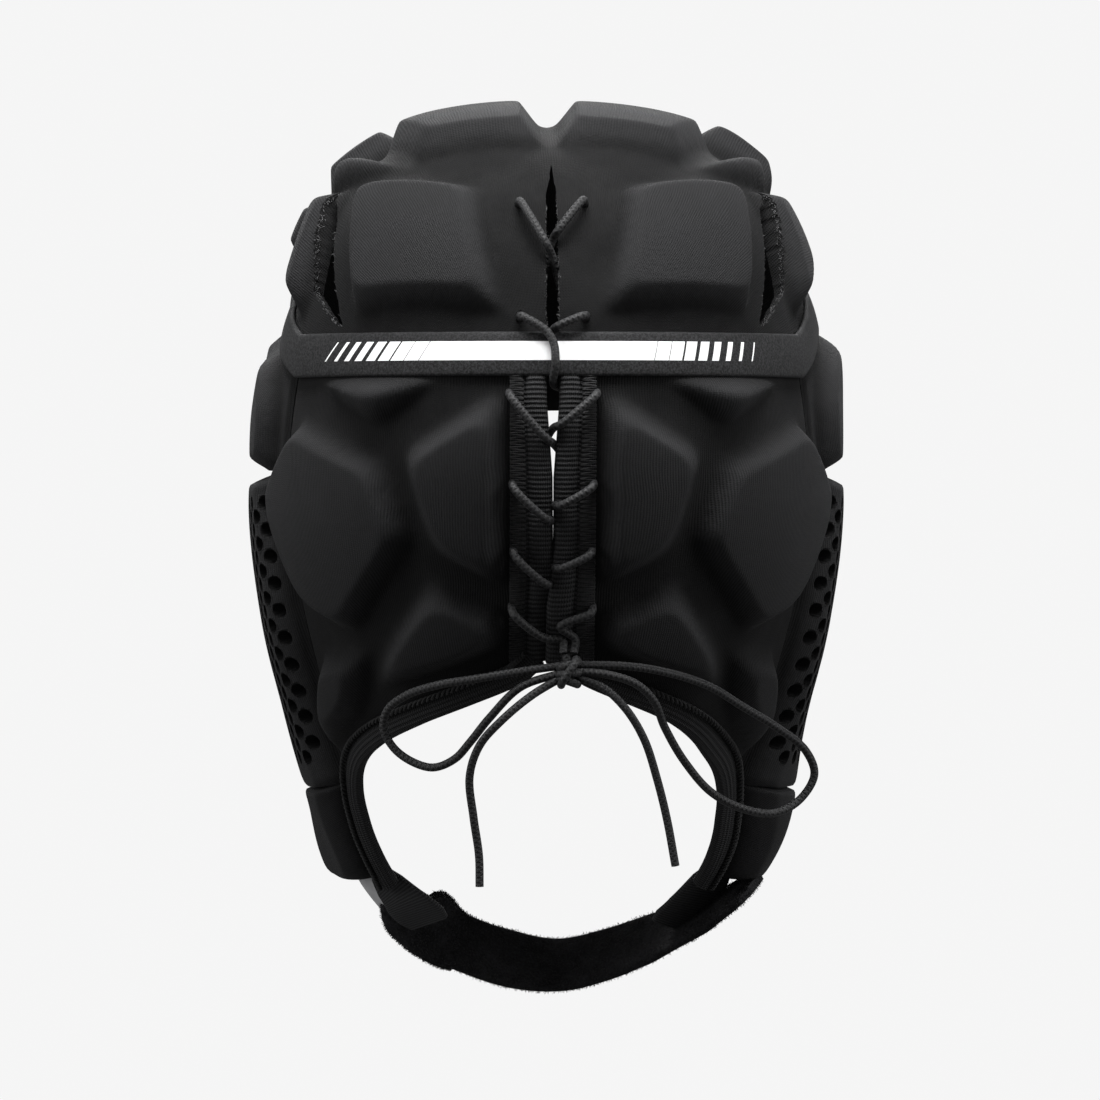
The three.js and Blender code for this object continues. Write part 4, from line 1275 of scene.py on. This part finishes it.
def joined(things, name):
    """One object from several, made by their mesh data."""
    points, faces, marks = [], [], {}
    start = 0
    for thing in things:
        mesh = thing.data
        points += [v.co / MM for v in mesh.vertices]
        faces += [[start + k for k in p.vertices] for p in mesh.polygons]
        for layer in mesh.attributes:
            if layer.domain == "POINT" and layer.data_type == "FLOAT":
                marks.setdefault(layer.name, []).extend(d.value for d in layer.data)
        start += len(mesh.vertices)
        bpy.data.objects.remove(thing)
    return make_piece(name, points, faces, smooth=False, marks=marks)


# How far the cheek's pad reaches up behind the foot of the ear guard
CHEEK_UNDER_EAR = 2.4
CHEEK_SHOULDERS = (7.0, 6.0, 1.4, 5.0)


def cheek_panel():
    top = -HEAD_DROP * EAR_BOTTOM - SEAM_GAP / 2 + CHEEK_UNDER_EAR
    bottom = -HEAD_DROP * CHEEK_BOTTOM
    height = raised_all_over(CHEEK_RISE, CHEEK_SHOULDERS, 9)
    piece = panel("cheek_panel_cloth_right", column_place(top, bottom), 80, 50, height)
    sharpen(piece)
    return piece


def add_pair(piece, left_name, slot, node, material, left_material=None):
    """Settles a right piece and its left twin."""
    twin = mirror_twin(piece, left_name)
    settle(piece, slot, node + "_right", material)
    settle(twin, slot, node + "_left", left_material or material)
    return piece, twin


# Solids carried along a line
def swept(name, rings, marks=None, angle=60):
    """Closed solid over rings of points, an array of rings x points x 3."""
    rings = np.asarray(rings, float)
    count, n = rings.shape[:2]
    i, j = np.meshgrid(np.arange(count - 1), np.arange(n), indexing="ij")
    k = (j + 1) % n
    faces = np.stack([i * n + j, i * n + k, (i + 1) * n + k, (i + 1) * n + j], -1).reshape(-1, 4).tolist()
    faces += [list(range(n - 1, -1, -1)), [(count - 1) * n + j for j in range(n)]]
    piece = outwards(make_piece(name, rings, faces, marks=marks))
    sharpen(piece, angle)
    return piece


def rounded_bar(width, wall, turns=6, dome=0.0, across_steps=12):
    """Outline of a flat strap with round edges: (across, height) pairs."""
    half = wall / 2
    points = []
    for k in range(turns + 1):
        a = math.pi / 2 + math.pi * k / turns
        points.append((half + half * math.cos(a), half + half * math.sin(a)))
    for k in range(1, across_steps):
        points.append((half + (width - wall) * k / across_steps, 0))
    for k in range(turns + 1):
        a = -math.pi / 2 + math.pi * k / turns
        points.append((width - half + half * math.cos(a), half + half * math.sin(a)))
    for k in range(across_steps - 1, 0, -1):
        share = k / across_steps
        points.append((half + (width - wall) * share, wall + dome * math.sin(math.pi * share)))
    return np.array(points)


def stripe_band(side, name):
    start = -math.pi / 2 + BAND_HALF_GAP / HEAD_HALF_LENGTH
    azimuths = np.linspace(start, BAND_END_AZIMUTH * DEGREE, 260)[:, None]
    outline = rounded_bar(BAND_HEIGHT, BAND_WALL, dome=0.25)
    wanted = crown_edge_z(azimuths) - BAND_HEIGHT / 2 + outline[:, 0] - BAND_SAG
    height = CLOTH_WALL + SEAM_GAP + outline[:, 1] + 0 * wanted
    turned = azimuths + 0 * wanted
    z = wanted
    for _ in range(3):
        z = wanted - head_normal(level_at(z), turned)[..., 2] * height
    rings = on_head(level_at(z), turned, height)
    along = np.repeat(reach_along(rings[:, len(outline) // 2]), len(outline))
    across = np.tile(outline[:, 0], len(azimuths))
    face = np.tile((outline[:, 1] > BAND_WALL * 0.7).astype(float), len(azimuths))
    rings[..., 0] *= side
    reach = np.repeat(np.abs(rings[:, len(outline) // 2, 0]), len(outline))
    marks = {"along": along, "across": across, "reach": reach, "face": face}
    marks["side"] = np.full(len(along), (side + 1) / 2)
    return swept(name, rings, marks, 70)


# Facing beside the slit: a ribbed roll along the edge, a groove and an overlocked strip
FACING_SECTION = np.array([
    (12.0, 3.0),
    (11.7, 4.0),
    (10.6, 4.35),
    (9.0, 4.3),
    (8.0, 3.95),
    (7.6, 3.6),
    (7.2, 4.1),
    (6.2, 4.9),
    (4.6, 5.1),
    (3.0, 4.9),
    (2.0, 4.0),
    (1.6, 2.6),
    (1.7, 1.2),
    (2.1, 0.3),
    (2.45, 0.5),
    (2.5, 2.6),
    (3.2, 3.05),
    (7.6, 3.05),
])


FACING_BELOW_BAND = 1.1


def facing_heights(rows):
    top = -HEAD_DROP * CROWN_EDGE[0][1] - BAND_HEIGHT / 2 - SEAM_GAP - FACING_BELOW_BAND
    return np.linspace(top, float(neck_edge(0.06, PANEL_INSET)[1]), rows)


# How the facings close over the slit: height up the slit, shift towards the other side, lift
FACING_CLOSE_RIGHT = [
    (-152, 3.4, 0.9),
    (-136, 3.2, 0.9),
    (-128, 2.2, 0.6),
    (-118, 1.5, 0),
    (-100, 1.5, 0),
    (-79, -0.1, 0),
]
FACING_CLOSE_LEFT = [
    (-152, 1.0, -1.6),
    (-136, 1.0, -1.6),
    (-128, 2.2, -0.6),
    (-118, 1.7, 0),
    (-100, 1.5, 0),
    (-79, -0.1, 0),
]


def facing_point(side, z, across, height):
    """Point on the right facing, or on the left one where side is -1."""
    keys, shifts, lifts = zip(*(FACING_CLOSE_RIGHT if side > 0 else FACING_CLOSE_LEFT))
    inner = np.clip((12 - across) / 9, 0, 1)
    shift = np.interp(z, keys, shifts) * inner
    lift = np.interp(z, keys, lifts) * inner
    level, azimuth = beside_slit(z, across - shift)
    return on_head(level, azimuth, height + lift) * (side, 1, 1)


def lace_facing(side, name):
    heights = facing_heights(150)[:, None]
    across = FACING_SECTION[:, 0] + 0 * heights
    rings = facing_point(side, heights + 0 * across, across, FACING_SECTION[:, 1] + 0 * heights)
    marks = {"along": np.repeat(heights, len(FACING_SECTION)), "across": across}
    return swept(name, rings, marks, 75)


def thread_rings(points, radius, sides):
    ways = unit(np.gradient(points, axis=0))
    normal = unit(np.cross(ways[0], (0.3, 0.2, 0.93)))
    turns = np.arange(sides) * 2 * math.pi / sides
    rings = []
    for point, way in zip(points, ways):
        normal = unit(normal - way * normal.dot(way))
        other = np.cross(way, normal)
        rings.append(point + radius * (np.cos(turns)[:, None] * normal + np.sin(turns)[:, None] * other))
    return rings


def thread(name, points, radius, sides=5):
    """Round thread along points."""
    points = np.asarray(points, float)
    turn = np.tile(np.arange(sides) / sides, len(points))
    marks = {"along": np.repeat(reach_along(points), sides), "turn": turn}
    return swept(name, thread_rings(points, radius, sides), marks)


OVERLOCK_PITCH = 1.3
OVERLOCK_RADIUS = 0.24

# One stitch: how far down as a share of the pitch, how far across, height
OVERLOCK_LOOP = [
    (0, 8.1, 4.1),
    (0.1, 10.2, 4.55),
    (0.25, 11.9, 4.1),
    (0.65, 11.9, 4.1),
    (0.8, 10.0, 4.55),
    (1.0, 8.5, 4.15),
]


def overlock(side, name):
    """Overlock stitches on the facing's outer strip."""
    heights = facing_heights(2)
    count = int((heights[0] - heights[1]) / OVERLOCK_PITCH)
    points = []
    for i in range(count):
        z = heights[0] - (i + 0.2) * OVERLOCK_PITCH
        points += [facing_point(side, z - down, across, height) for down, across, height in OVERLOCK_LOOP]
    return thread(name, points, OVERLOCK_RADIUS)


# Neck binding: folded tape with three rows of stitches and a twisted seam along its inner edge
def binding_outline():
    """Section of the tape: (distance from the neckline, height) pairs."""
    top = CLOTH_WALL + BINDING_EXTRA_WALL
    points = [(1.0, 0.2), (0.25, 0.8), (0.0, 1.8), (0.25, 2.8)]
    for across in np.linspace(0.8, 5.9, 41):
        ridge = sum(math.exp(-(((across - row) / 0.3) ** 2)) for row in BINDING_ROWS)
        bulge = 0.35 * math.sin(math.pi * (across - 0.8) / 5.1)
        points.append((across, top - 0.35 + bulge + BINDING_RIDGE * ridge))
    return np.array(points + [(6.3, 2.9), (6.4, 2.0), (6.3, 1.0), (5.8, 0.3)])


BINDING_ROWS = (1.7, 3.0, 4.3)
BINDING_RIDGE = 0.3


def neck_point(share, inside, height):
    azimuth, z = neck_edge(share, inside)
    return on_head(level_at(z), azimuth, height)


def neck_binding():
    shares = np.linspace(0, 1, 420)[:, None]
    outline = binding_outline()
    across = outline[:, 0] + 0 * shares
    rings = neck_point(shares + 0 * across, across, outline[:, 1] + 0 * shares)
    along = np.repeat(reach_along(rings[:, 20]), len(outline))
    return swept("neck_binding_tape_right", rings, {"along": along, "across": across}, 75)


SEAM_TWIST_PITCH = 1.5
SEAM_TWIST_RADIUS = 0.42
SEAM_TWIST_REACH = 0.45
SEAM_INSIDE = 6.65
SEAM_HEIGHT = 4.1


def neck_seam():
    """Two strands twisted together where the binding meets the panels."""
    length = float(reach_along(neck_point(np.linspace(0, 1, 200), 6.6, 4.0))[-1])
    shares = np.linspace(0.01, 0.99, int(length / SEAM_TWIST_PITCH * 8))
    turns = shares * length / SEAM_TWIST_PITCH * math.pi
    strands = []
    for k in range(2):
        inside = SEAM_INSIDE + SEAM_TWIST_REACH * np.cos(turns + k * math.pi)
        height = SEAM_HEIGHT + SEAM_TWIST_REACH * np.sin(turns + k * math.pi)
        strands.append(thread("strand", neck_point(shares, inside, height), SEAM_TWIST_RADIUS, 6))
    return joined(strands, "neck_binding_seam_right")


# Laces
def lace_points(start_side):
    radius = LACE_DIAMETER / 2
    inside = -radius - 3 * LACE_CLEARANCE
    outside = CLOTH_WALL + BAND_WALL + SEAM_GAP + radius + LACE_CLEARANCE
    points = []

    def put(x, drop, height):
        level, azimuth = beside_slit(-drop * HEAD_DROP, x)
        points.append(on_head(level, azimuth, height))

    side = start_side
    for i, (reach, drop, meet_right, meet_left) in enumerate(LACE_HOLES):
        x = side * reach * HEAD_HALF_WIDTH
        meet = meet_right if side > 0 else meet_left
        put(x, drop, inside)
        put(x, drop, CLOTH_WALL)
        put(x * 0.92, drop + (meet - drop) * 0.12, outside)
        put(x * 0.2, drop + (meet - drop) * 0.86, outside)
        if i == FALLING_PAIR and side < 0:
            put(0.2, meet + 0.012, outside)
            put(0.6, FALL_END - 0.02, outside)
            meet = FALL_END
        if i + 1 < len(LACE_HOLES):
            next_reach, next_drop = LACE_HOLES[i + 1][:2]
            put(0, meet, CLOTH_WALL)
            put(-x * 0.25, meet + (next_drop - meet) * 0.35, inside)
            put(-side * next_reach * HEAD_HALF_WIDTH * 0.75, meet + (next_drop - meet) * 0.85, inside)
        side = -side
    x, y, z = KNOT_CENTRE
    over = z + KNOT_HALF_HEIGHT + LACE_CLEARANCE
    return points + [(x - side * 1.9, y + 1, over + 4), (x - side * 1.5, y, over)]


def lace(name, start_side):
    return thread(name, even_curve(lace_points(start_side), 0.5), LACE_DIAMETER / 2, 16)


def bow_knot():
    """The knot: a flat bight over the crossing strands, with a turn under it."""
    x, y, z = KNOT_CENTRE
    turns = np.linspace(0, 2 * math.pi, 40)[:, None]
    strands = []
    for lift, tilt, reach in ((1.9, 0.3, 2.7), (-0.6, 0.1, 2.9), (-2.9, -0.35, 2.5)):
        ring = np.cos(turns) * (reach, 0, tilt * reach) + np.sin(turns) * (0, 2.4, 0) + (x, y - 0.4, z + lift)
        strands.append(thread("turn", ring, LACE_DIAMETER / 2, 14))
    over = [
        (x + 2.2, y - 1, z + 3.6),
        (x + 1.6, y - 3.7, z + 2.2),
        (x - 0.2, y - 4.3, z - 0.4),
        (x - 1.8, y - 3.4, z - 3),
        (x - 2.2, y - 0.6, z - 4),
    ]
    strands.append(thread("over", even_curve(over, 0.5), LACE_DIAMETER / 2, 14))
    core = [(x - 0.8, y + 0.5, z + 4.8), (x, y, z), (x + 0.8, y + 0.5, z - 3.8)]
    strands.append(thread("core", even_curve(core, 0.5), LACE_DIAMETER / 2, 14))
    return joined(strands, "bow_knot_cords")


def free_lace(name, points, node):
    """A free length of lace: a loop or an end of the bow."""
    path = even_curve(points, 0.8)
    piece = settle(thread(name, path, LACE_DIAMETER / 2, 16), "elastic_lace", node, lace_braid)
    float(reach_along(path)[-1]) * MM


# Straps
def strap_frames(rows, steps):
    """Places along a strap with its directions along, across and out."""
    shares = np.linspace(0, 1, steps + 1)
    points = curve_at([at for at, _ in rows], shares)
    along = unit(np.gradient(points, axis=0))
    across = curve_at([way for _, way in rows], shares)
    across = unit(across - along * np.sum(across * along, -1, keepdims=True))
    return points, across, np.cross(along, across)


def strap(name, rows, width, wall, steps, widths=((0, 1), (1, 1))):
    """Flat strap along rows. widths are shares of the width at shares of the length."""
    points, across, out = strap_frames(rows, steps)
    outline = rounded_bar(width, wall, dome=0.15) - (width / 2, wall / 2)
    share = between(widths, np.linspace(0, 1, steps + 1))[:, None, None]
    rings = points[:, None] + across[:, None] * outline[None, :, :1] * share
    rings = rings + out[:, None] * outline[None, :, 1:]
    marks = {
        "along": np.repeat(reach_along(points), len(outline)),
        "across": np.tile(outline[:, 0] + width / 2, len(points)),
    }
    return swept(name, rings, marks)


FIBRE_LENGTH = 0.95
FIBRE_WIDTH = 0.09


def strap_pile(name, rows, widths, fibres, seed):
    """Loose fibres that stand off a strap."""
    chance = np.random.default_rng(seed)
    points, across, out = strap_frames(rows, 400)
    at = chance.integers(0, 401, fibres)
    side = chance.choice([-1.0, 1.0], fibres)
    half = STRAP_WIDTH / 2 * between(widths, at / 400)
    edge = chance.random(fibres) < 0.3
    on_edge = chance.choice([-1.0, 1.0], fibres) * (half - 0.2)
    on_face = chance.uniform(-1, 1, fibres) * (half - 0.5)
    aside = np.where(edge, on_edge, on_face)
    lift = np.where(edge, chance.uniform(-0.8, 0.8, fibres), side * (STRAP_WALL / 2 - 0.05))
    root = points[at] + across[at] * aside[:, None] + out[at] * lift[:, None]
    way = np.where(edge[:, None], across[at] * np.sign(aside)[:, None], out[at] * side[:, None])
    way = unit(way + chance.normal(0, 0.45, (fibres, 3)))
    return fibre_mesh(name, root, way, FIBRE_LENGTH, FIBRE_WIDTH, chance)


def fibre_mesh(name, root, way, length, width, chance):
    """Short bent fibres, each a closed solid that ends in a point."""
    count = len(root)
    length = length * chance.uniform(0.5, 1.1, count)[:, None]
    flat = unit(np.cross(way, chance.normal(size=(count, 3))))
    other = np.cross(way, flat)
    bend = root + way * length * 0.6
    tip = bend + unit(way + flat * chance.uniform(0.3, 1.4, (count, 1))) * length * 0.5
    corners = [flat, -0.5 * flat + 0.87 * other, -0.5 * flat - 0.87 * other]
    low = [root + c * width for c in corners]
    high = [bend + c * width * 0.8 for c in corners]
    solid = np.stack(low + high + [tip], 1)
    one = [(0, 2, 1), (3, 4, 6), (4, 5, 6), (5, 3, 6), (0, 1, 4, 3), (1, 2, 5, 4), (2, 0, 3, 5)]
    faces = [[7 * i + k for k in face] for i in range(count) for face in one]
    return make_piece(name, solid, faces, smooth=False)


FRAY_STEP = 0.2
FRAY_LENGTH = 1.1
FRAY_WIDTH = 0.1


def frayed(name, outline, chart, target, seed):
    """Loose thread ends where a raw edge was cut. outline is the cut in a flat chart."""
    centre, right, up, out = chart
    chance = np.random.default_rng(seed)
    roots, ways = [], []
    middle = np.mean(outline, axis=0)
    tree = BVHTree.FromObject(target, bpy.context.evaluated_depsgraph_get())
    for a, b in zip(outline, outline[1:] + outline[:1]):
        for share in np.arange(0, 1, FRAY_STEP / max(np.linalg.norm(b - a), FRAY_STEP)):
            spot = a + (b - a) * share
            outside = spot + unit(spot - middle) * chance.uniform(0.1, 0.45)
            start = (centre + right * outside[0] + up * outside[1] + out * 26) * MM
            hit = tree.ray_cast(Vector(start), Vector(-out), 0.05)[0]
            if hit:
                inwards = right * (middle - spot)[0] + up * (middle - spot)[1]
                roots.append(np.array(hit) / MM - out * chance.uniform(0.1, 1.6))
                ways.append(unit(unit(inwards) + out * chance.uniform(-0.3, 0.9) + chance.normal(0, 0.55, 3)))
    return fibre_mesh(name, np.array(roots), np.array(ways), FRAY_LENGTH, FRAY_WIDTH, chance)


# Studio
FLOOR_TONE = 0.3
FLOOR_GLOW = 2.2
FLOOR_DEPTH = 600
FLOOR_REACH = 3500
DOME_REACH = 9000
DOME_TONE = 0.905
WORLD_LIGHT = 0.19

# Lights: name, place, what it aims at, size, power in watts
LIGHTS = [
    ("top_light", (0, -380, 1030), (0, 0, -80), (900, 600), 36.5),
    ("left_light", (-1150, -350, 300), (0, 0, -120), (500, 1100), 9.5),
    ("right_light", (1150, -350, 300), (0, 0, -120), (500, 1100), 9.5),
    ("front_light", (0, 1100, 700), (0, 0, -100), (900, 700), 12),
]


def backdrop():
    """Pale floor and a pale dome round it, which give the cap no light of their own."""
    turns = np.linspace(0, 2 * math.pi, 65)[:-1]
    ring = np.stack([np.cos(turns), np.sin(turns), 0 * turns], -1) * FLOOR_REACH - (0, 0, FLOOR_DEPTH)
    floor = make_piece("floor", ring, [list(range(64))], smooth=False)
    f = Finish("floor")
    tone = (FLOOR_TONE,) * 3 + (1,)
    f.set(Base_Color=tone, Roughness=0.95, Specular_IOR_Level=0.0)
    floor.data.materials.append(f.set(Emission_Color=tone, Emission_Strength=FLOOR_GLOW))
    heights = np.linspace(-math.pi / 2, math.pi / 2, 33)[:, None]
    level, rise = np.cos(heights), np.sin(heights) + 0 * turns
    rings = np.stack([level * np.cos(turns), level * np.sin(turns), rise], -1)
    dome = make_piece("dome", rings * DOME_REACH, grid_faces(64, 33, closed=True))
    f = Finish("dome")
    tone = (DOME_TONE,) * 3 + (1,)
    dome.data.materials.append(f.set(Base_Color=(0, 0, 0, 1), Emission_Color=tone, Emission_Strength=1.0))
    for thing in (floor, dome):
        thing.visible_diffuse = thing.visible_glossy = False
    dome.visible_shadow = False


def area_light(name, place, aim, size, power):
    light = bpy.data.lights.new(name, "AREA")
    light.shape = "RECTANGLE"
    light.size, light.size_y = (s * MM for s in size)
    light.energy = power
    thing = bpy.data.objects.new(name, light)
    bpy.context.scene.collection.objects.link(thing)
    thing.location = Vector(place) * MM
    thing.rotation_euler = (Vector(place) - Vector(aim)).to_track_quat("Z", "Y").to_euler()


def studio():
    world = bpy.data.worlds.new("studio")
    world.use_nodes = True
    background = world.node_tree.nodes["Background"]
    background.inputs[0].default_value = (1, 1, 1, 1)
    background.inputs[1].default_value = WORLD_LIGHT
    bpy.context.scene.world = world
    bpy.context.scene.view_settings.view_transform = "Standard"
    for row in LIGHTS:
        area_light(*row)


# The cap
add_camera()
studio()
backdrop()

lace_braid = braided("lace_braid", CORD_DARK, CORD_LIGHT)
free_lace("bow_loop_lace_right", BOW_LOOP_RIGHT, "bow_loop_right")
free_lace("bow_loop_lace_left", BOW_LOOP_LEFT, "bow_loop_left")
free_lace("lace_end_lace_right", LACE_END_RIGHT, "lace_end_right")
free_lace("lace_end_lace_left", LACE_END_LEFT, "lace_end_left")
settle(lace("lace_cord_right", 1), "elastic_lace", "lace_right", lace_braid)
settle(lace("lace_cord_left", -1), "elastic_lace", "lace_left", lace_braid)
settle(bow_knot(), "elastic_lace", "bow_knot", lace_braid)

crown_pads = pads_of(CROWN_PADS, CROWN_PAD_RISE, both_sides=True)
back_pads = pads_of(BACK_PADS, BACK_PAD_RISE)
side_pads = pads_of(SIDE_PADS, SIDE_PAD_RISE)
fray_thread = fibre("fray_thread", FRAY_TONE)
knit_over_top = knit("knit_over_top", grain_over_top, KNIT_DARK, KNIT_LIGHT)
knit_round = knit("knit_round", grain_round_head, KNIT_DARK, KNIT_LIGHT)
knit_pierced = knit("knit_pierced", grain_round_head, KNIT_DARK, KNIT_LIGHT)

crown()
for shape, left_name, slot, node, material, fill in (
    (back_panel(), "back_panel_cloth_left", "padded_knit", "back_panel", knit_round, 0.6),
    (side_panel(), "side_panel_cloth_left", "padded_knit", "side_panel", knit_round, 0.6),
    (ear_panel(), "ear_panel_cloth_left", "pierced_knit", "ear_panel", knit_pierced, 0.7),
    (cheek_panel(), "cheek_panel_cloth_left", "padded_knit", "cheek_panel", knit_round, 0.6),
):
    for piece in add_pair(shape, left_name, slot, node, material):
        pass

printed = stripe_print()
settle(stripe_band(1, "stripe_band_cloth_right"), "printed_band", "stripe_band_right", printed)
settle(stripe_band(-1, "stripe_band_cloth_left"), "printed_band", "stripe_band_left", printed)
facing_tape = ribbed_tape("facing_tape", 1.3, TAPE_DARK, TAPE_LIGHT, 0.3)
binding_tape = ribbed_tape("binding_tape", 0.8, TAPE_DARK, TAPE_LIGHT, 0.12)
stitch_thread = fibre("stitch_thread", STITCH_TONE)
for side, hand in ((1, "right"), (-1, "left")):
    node = "lace_facing_" + hand
    settle(lace_facing(side, "lace_facing_tape_" + hand), "ribbed_tape", node, facing_tape)
    settle(overlock(side, "lace_facing_overlock_" + hand), "ribbed_tape", node, stitch_thread)
add_pair(neck_binding(), "neck_binding_tape_left", "binding", "neck_binding", binding_tape)
add_pair(neck_seam(), "neck_binding_seam_left", "binding", "neck_binding", stitch_thread)

tab_webbing = ribbed_tape("tab_webbing", 0.9, WEBBING_DARK, WEBBING_LIGHT, 0.08)
for rows, hand in ((TAB_ROWS_RIGHT, "right"), (TAB_ROWS_LEFT, "left")):
    tab = strap("strap_tab_web_" + hand, rows, TAB_WIDTH, TAB_WALL, 60, TAB_WIDTHS)
    settle(tab, "webbing", "strap_tab_" + hand, tab_webbing)
strap_nap = pile("strap_nap")
pile_fibre = fibre("pile_fibre", PILE_TONE)
for name, rows, widths, fibres in (
    ("chin_strap_web", CHIN_ROWS, CHIN_WIDTHS, 8000),
    ("chin_strap_fold", FOLD_ROWS, FOLD_WIDTHS, 2600),
):
    settle(strap(name, rows, STRAP_WIDTH, STRAP_WALL, 240, widths), "loop_pile", "chin_strap", strap_nap)
    settle(strap_pile(name + "_fibres", rows, widths, fibres, 12), "loop_pile", "chin_strap", pile_fibre)
keeper = strap("strap_keeper_strip", KEEPER_ROWS, KEEPER_WIDTH, KEEPER_WALL, 40)
settle(keeper, "keeper_ring", "strap_keeper", grey_plastic())
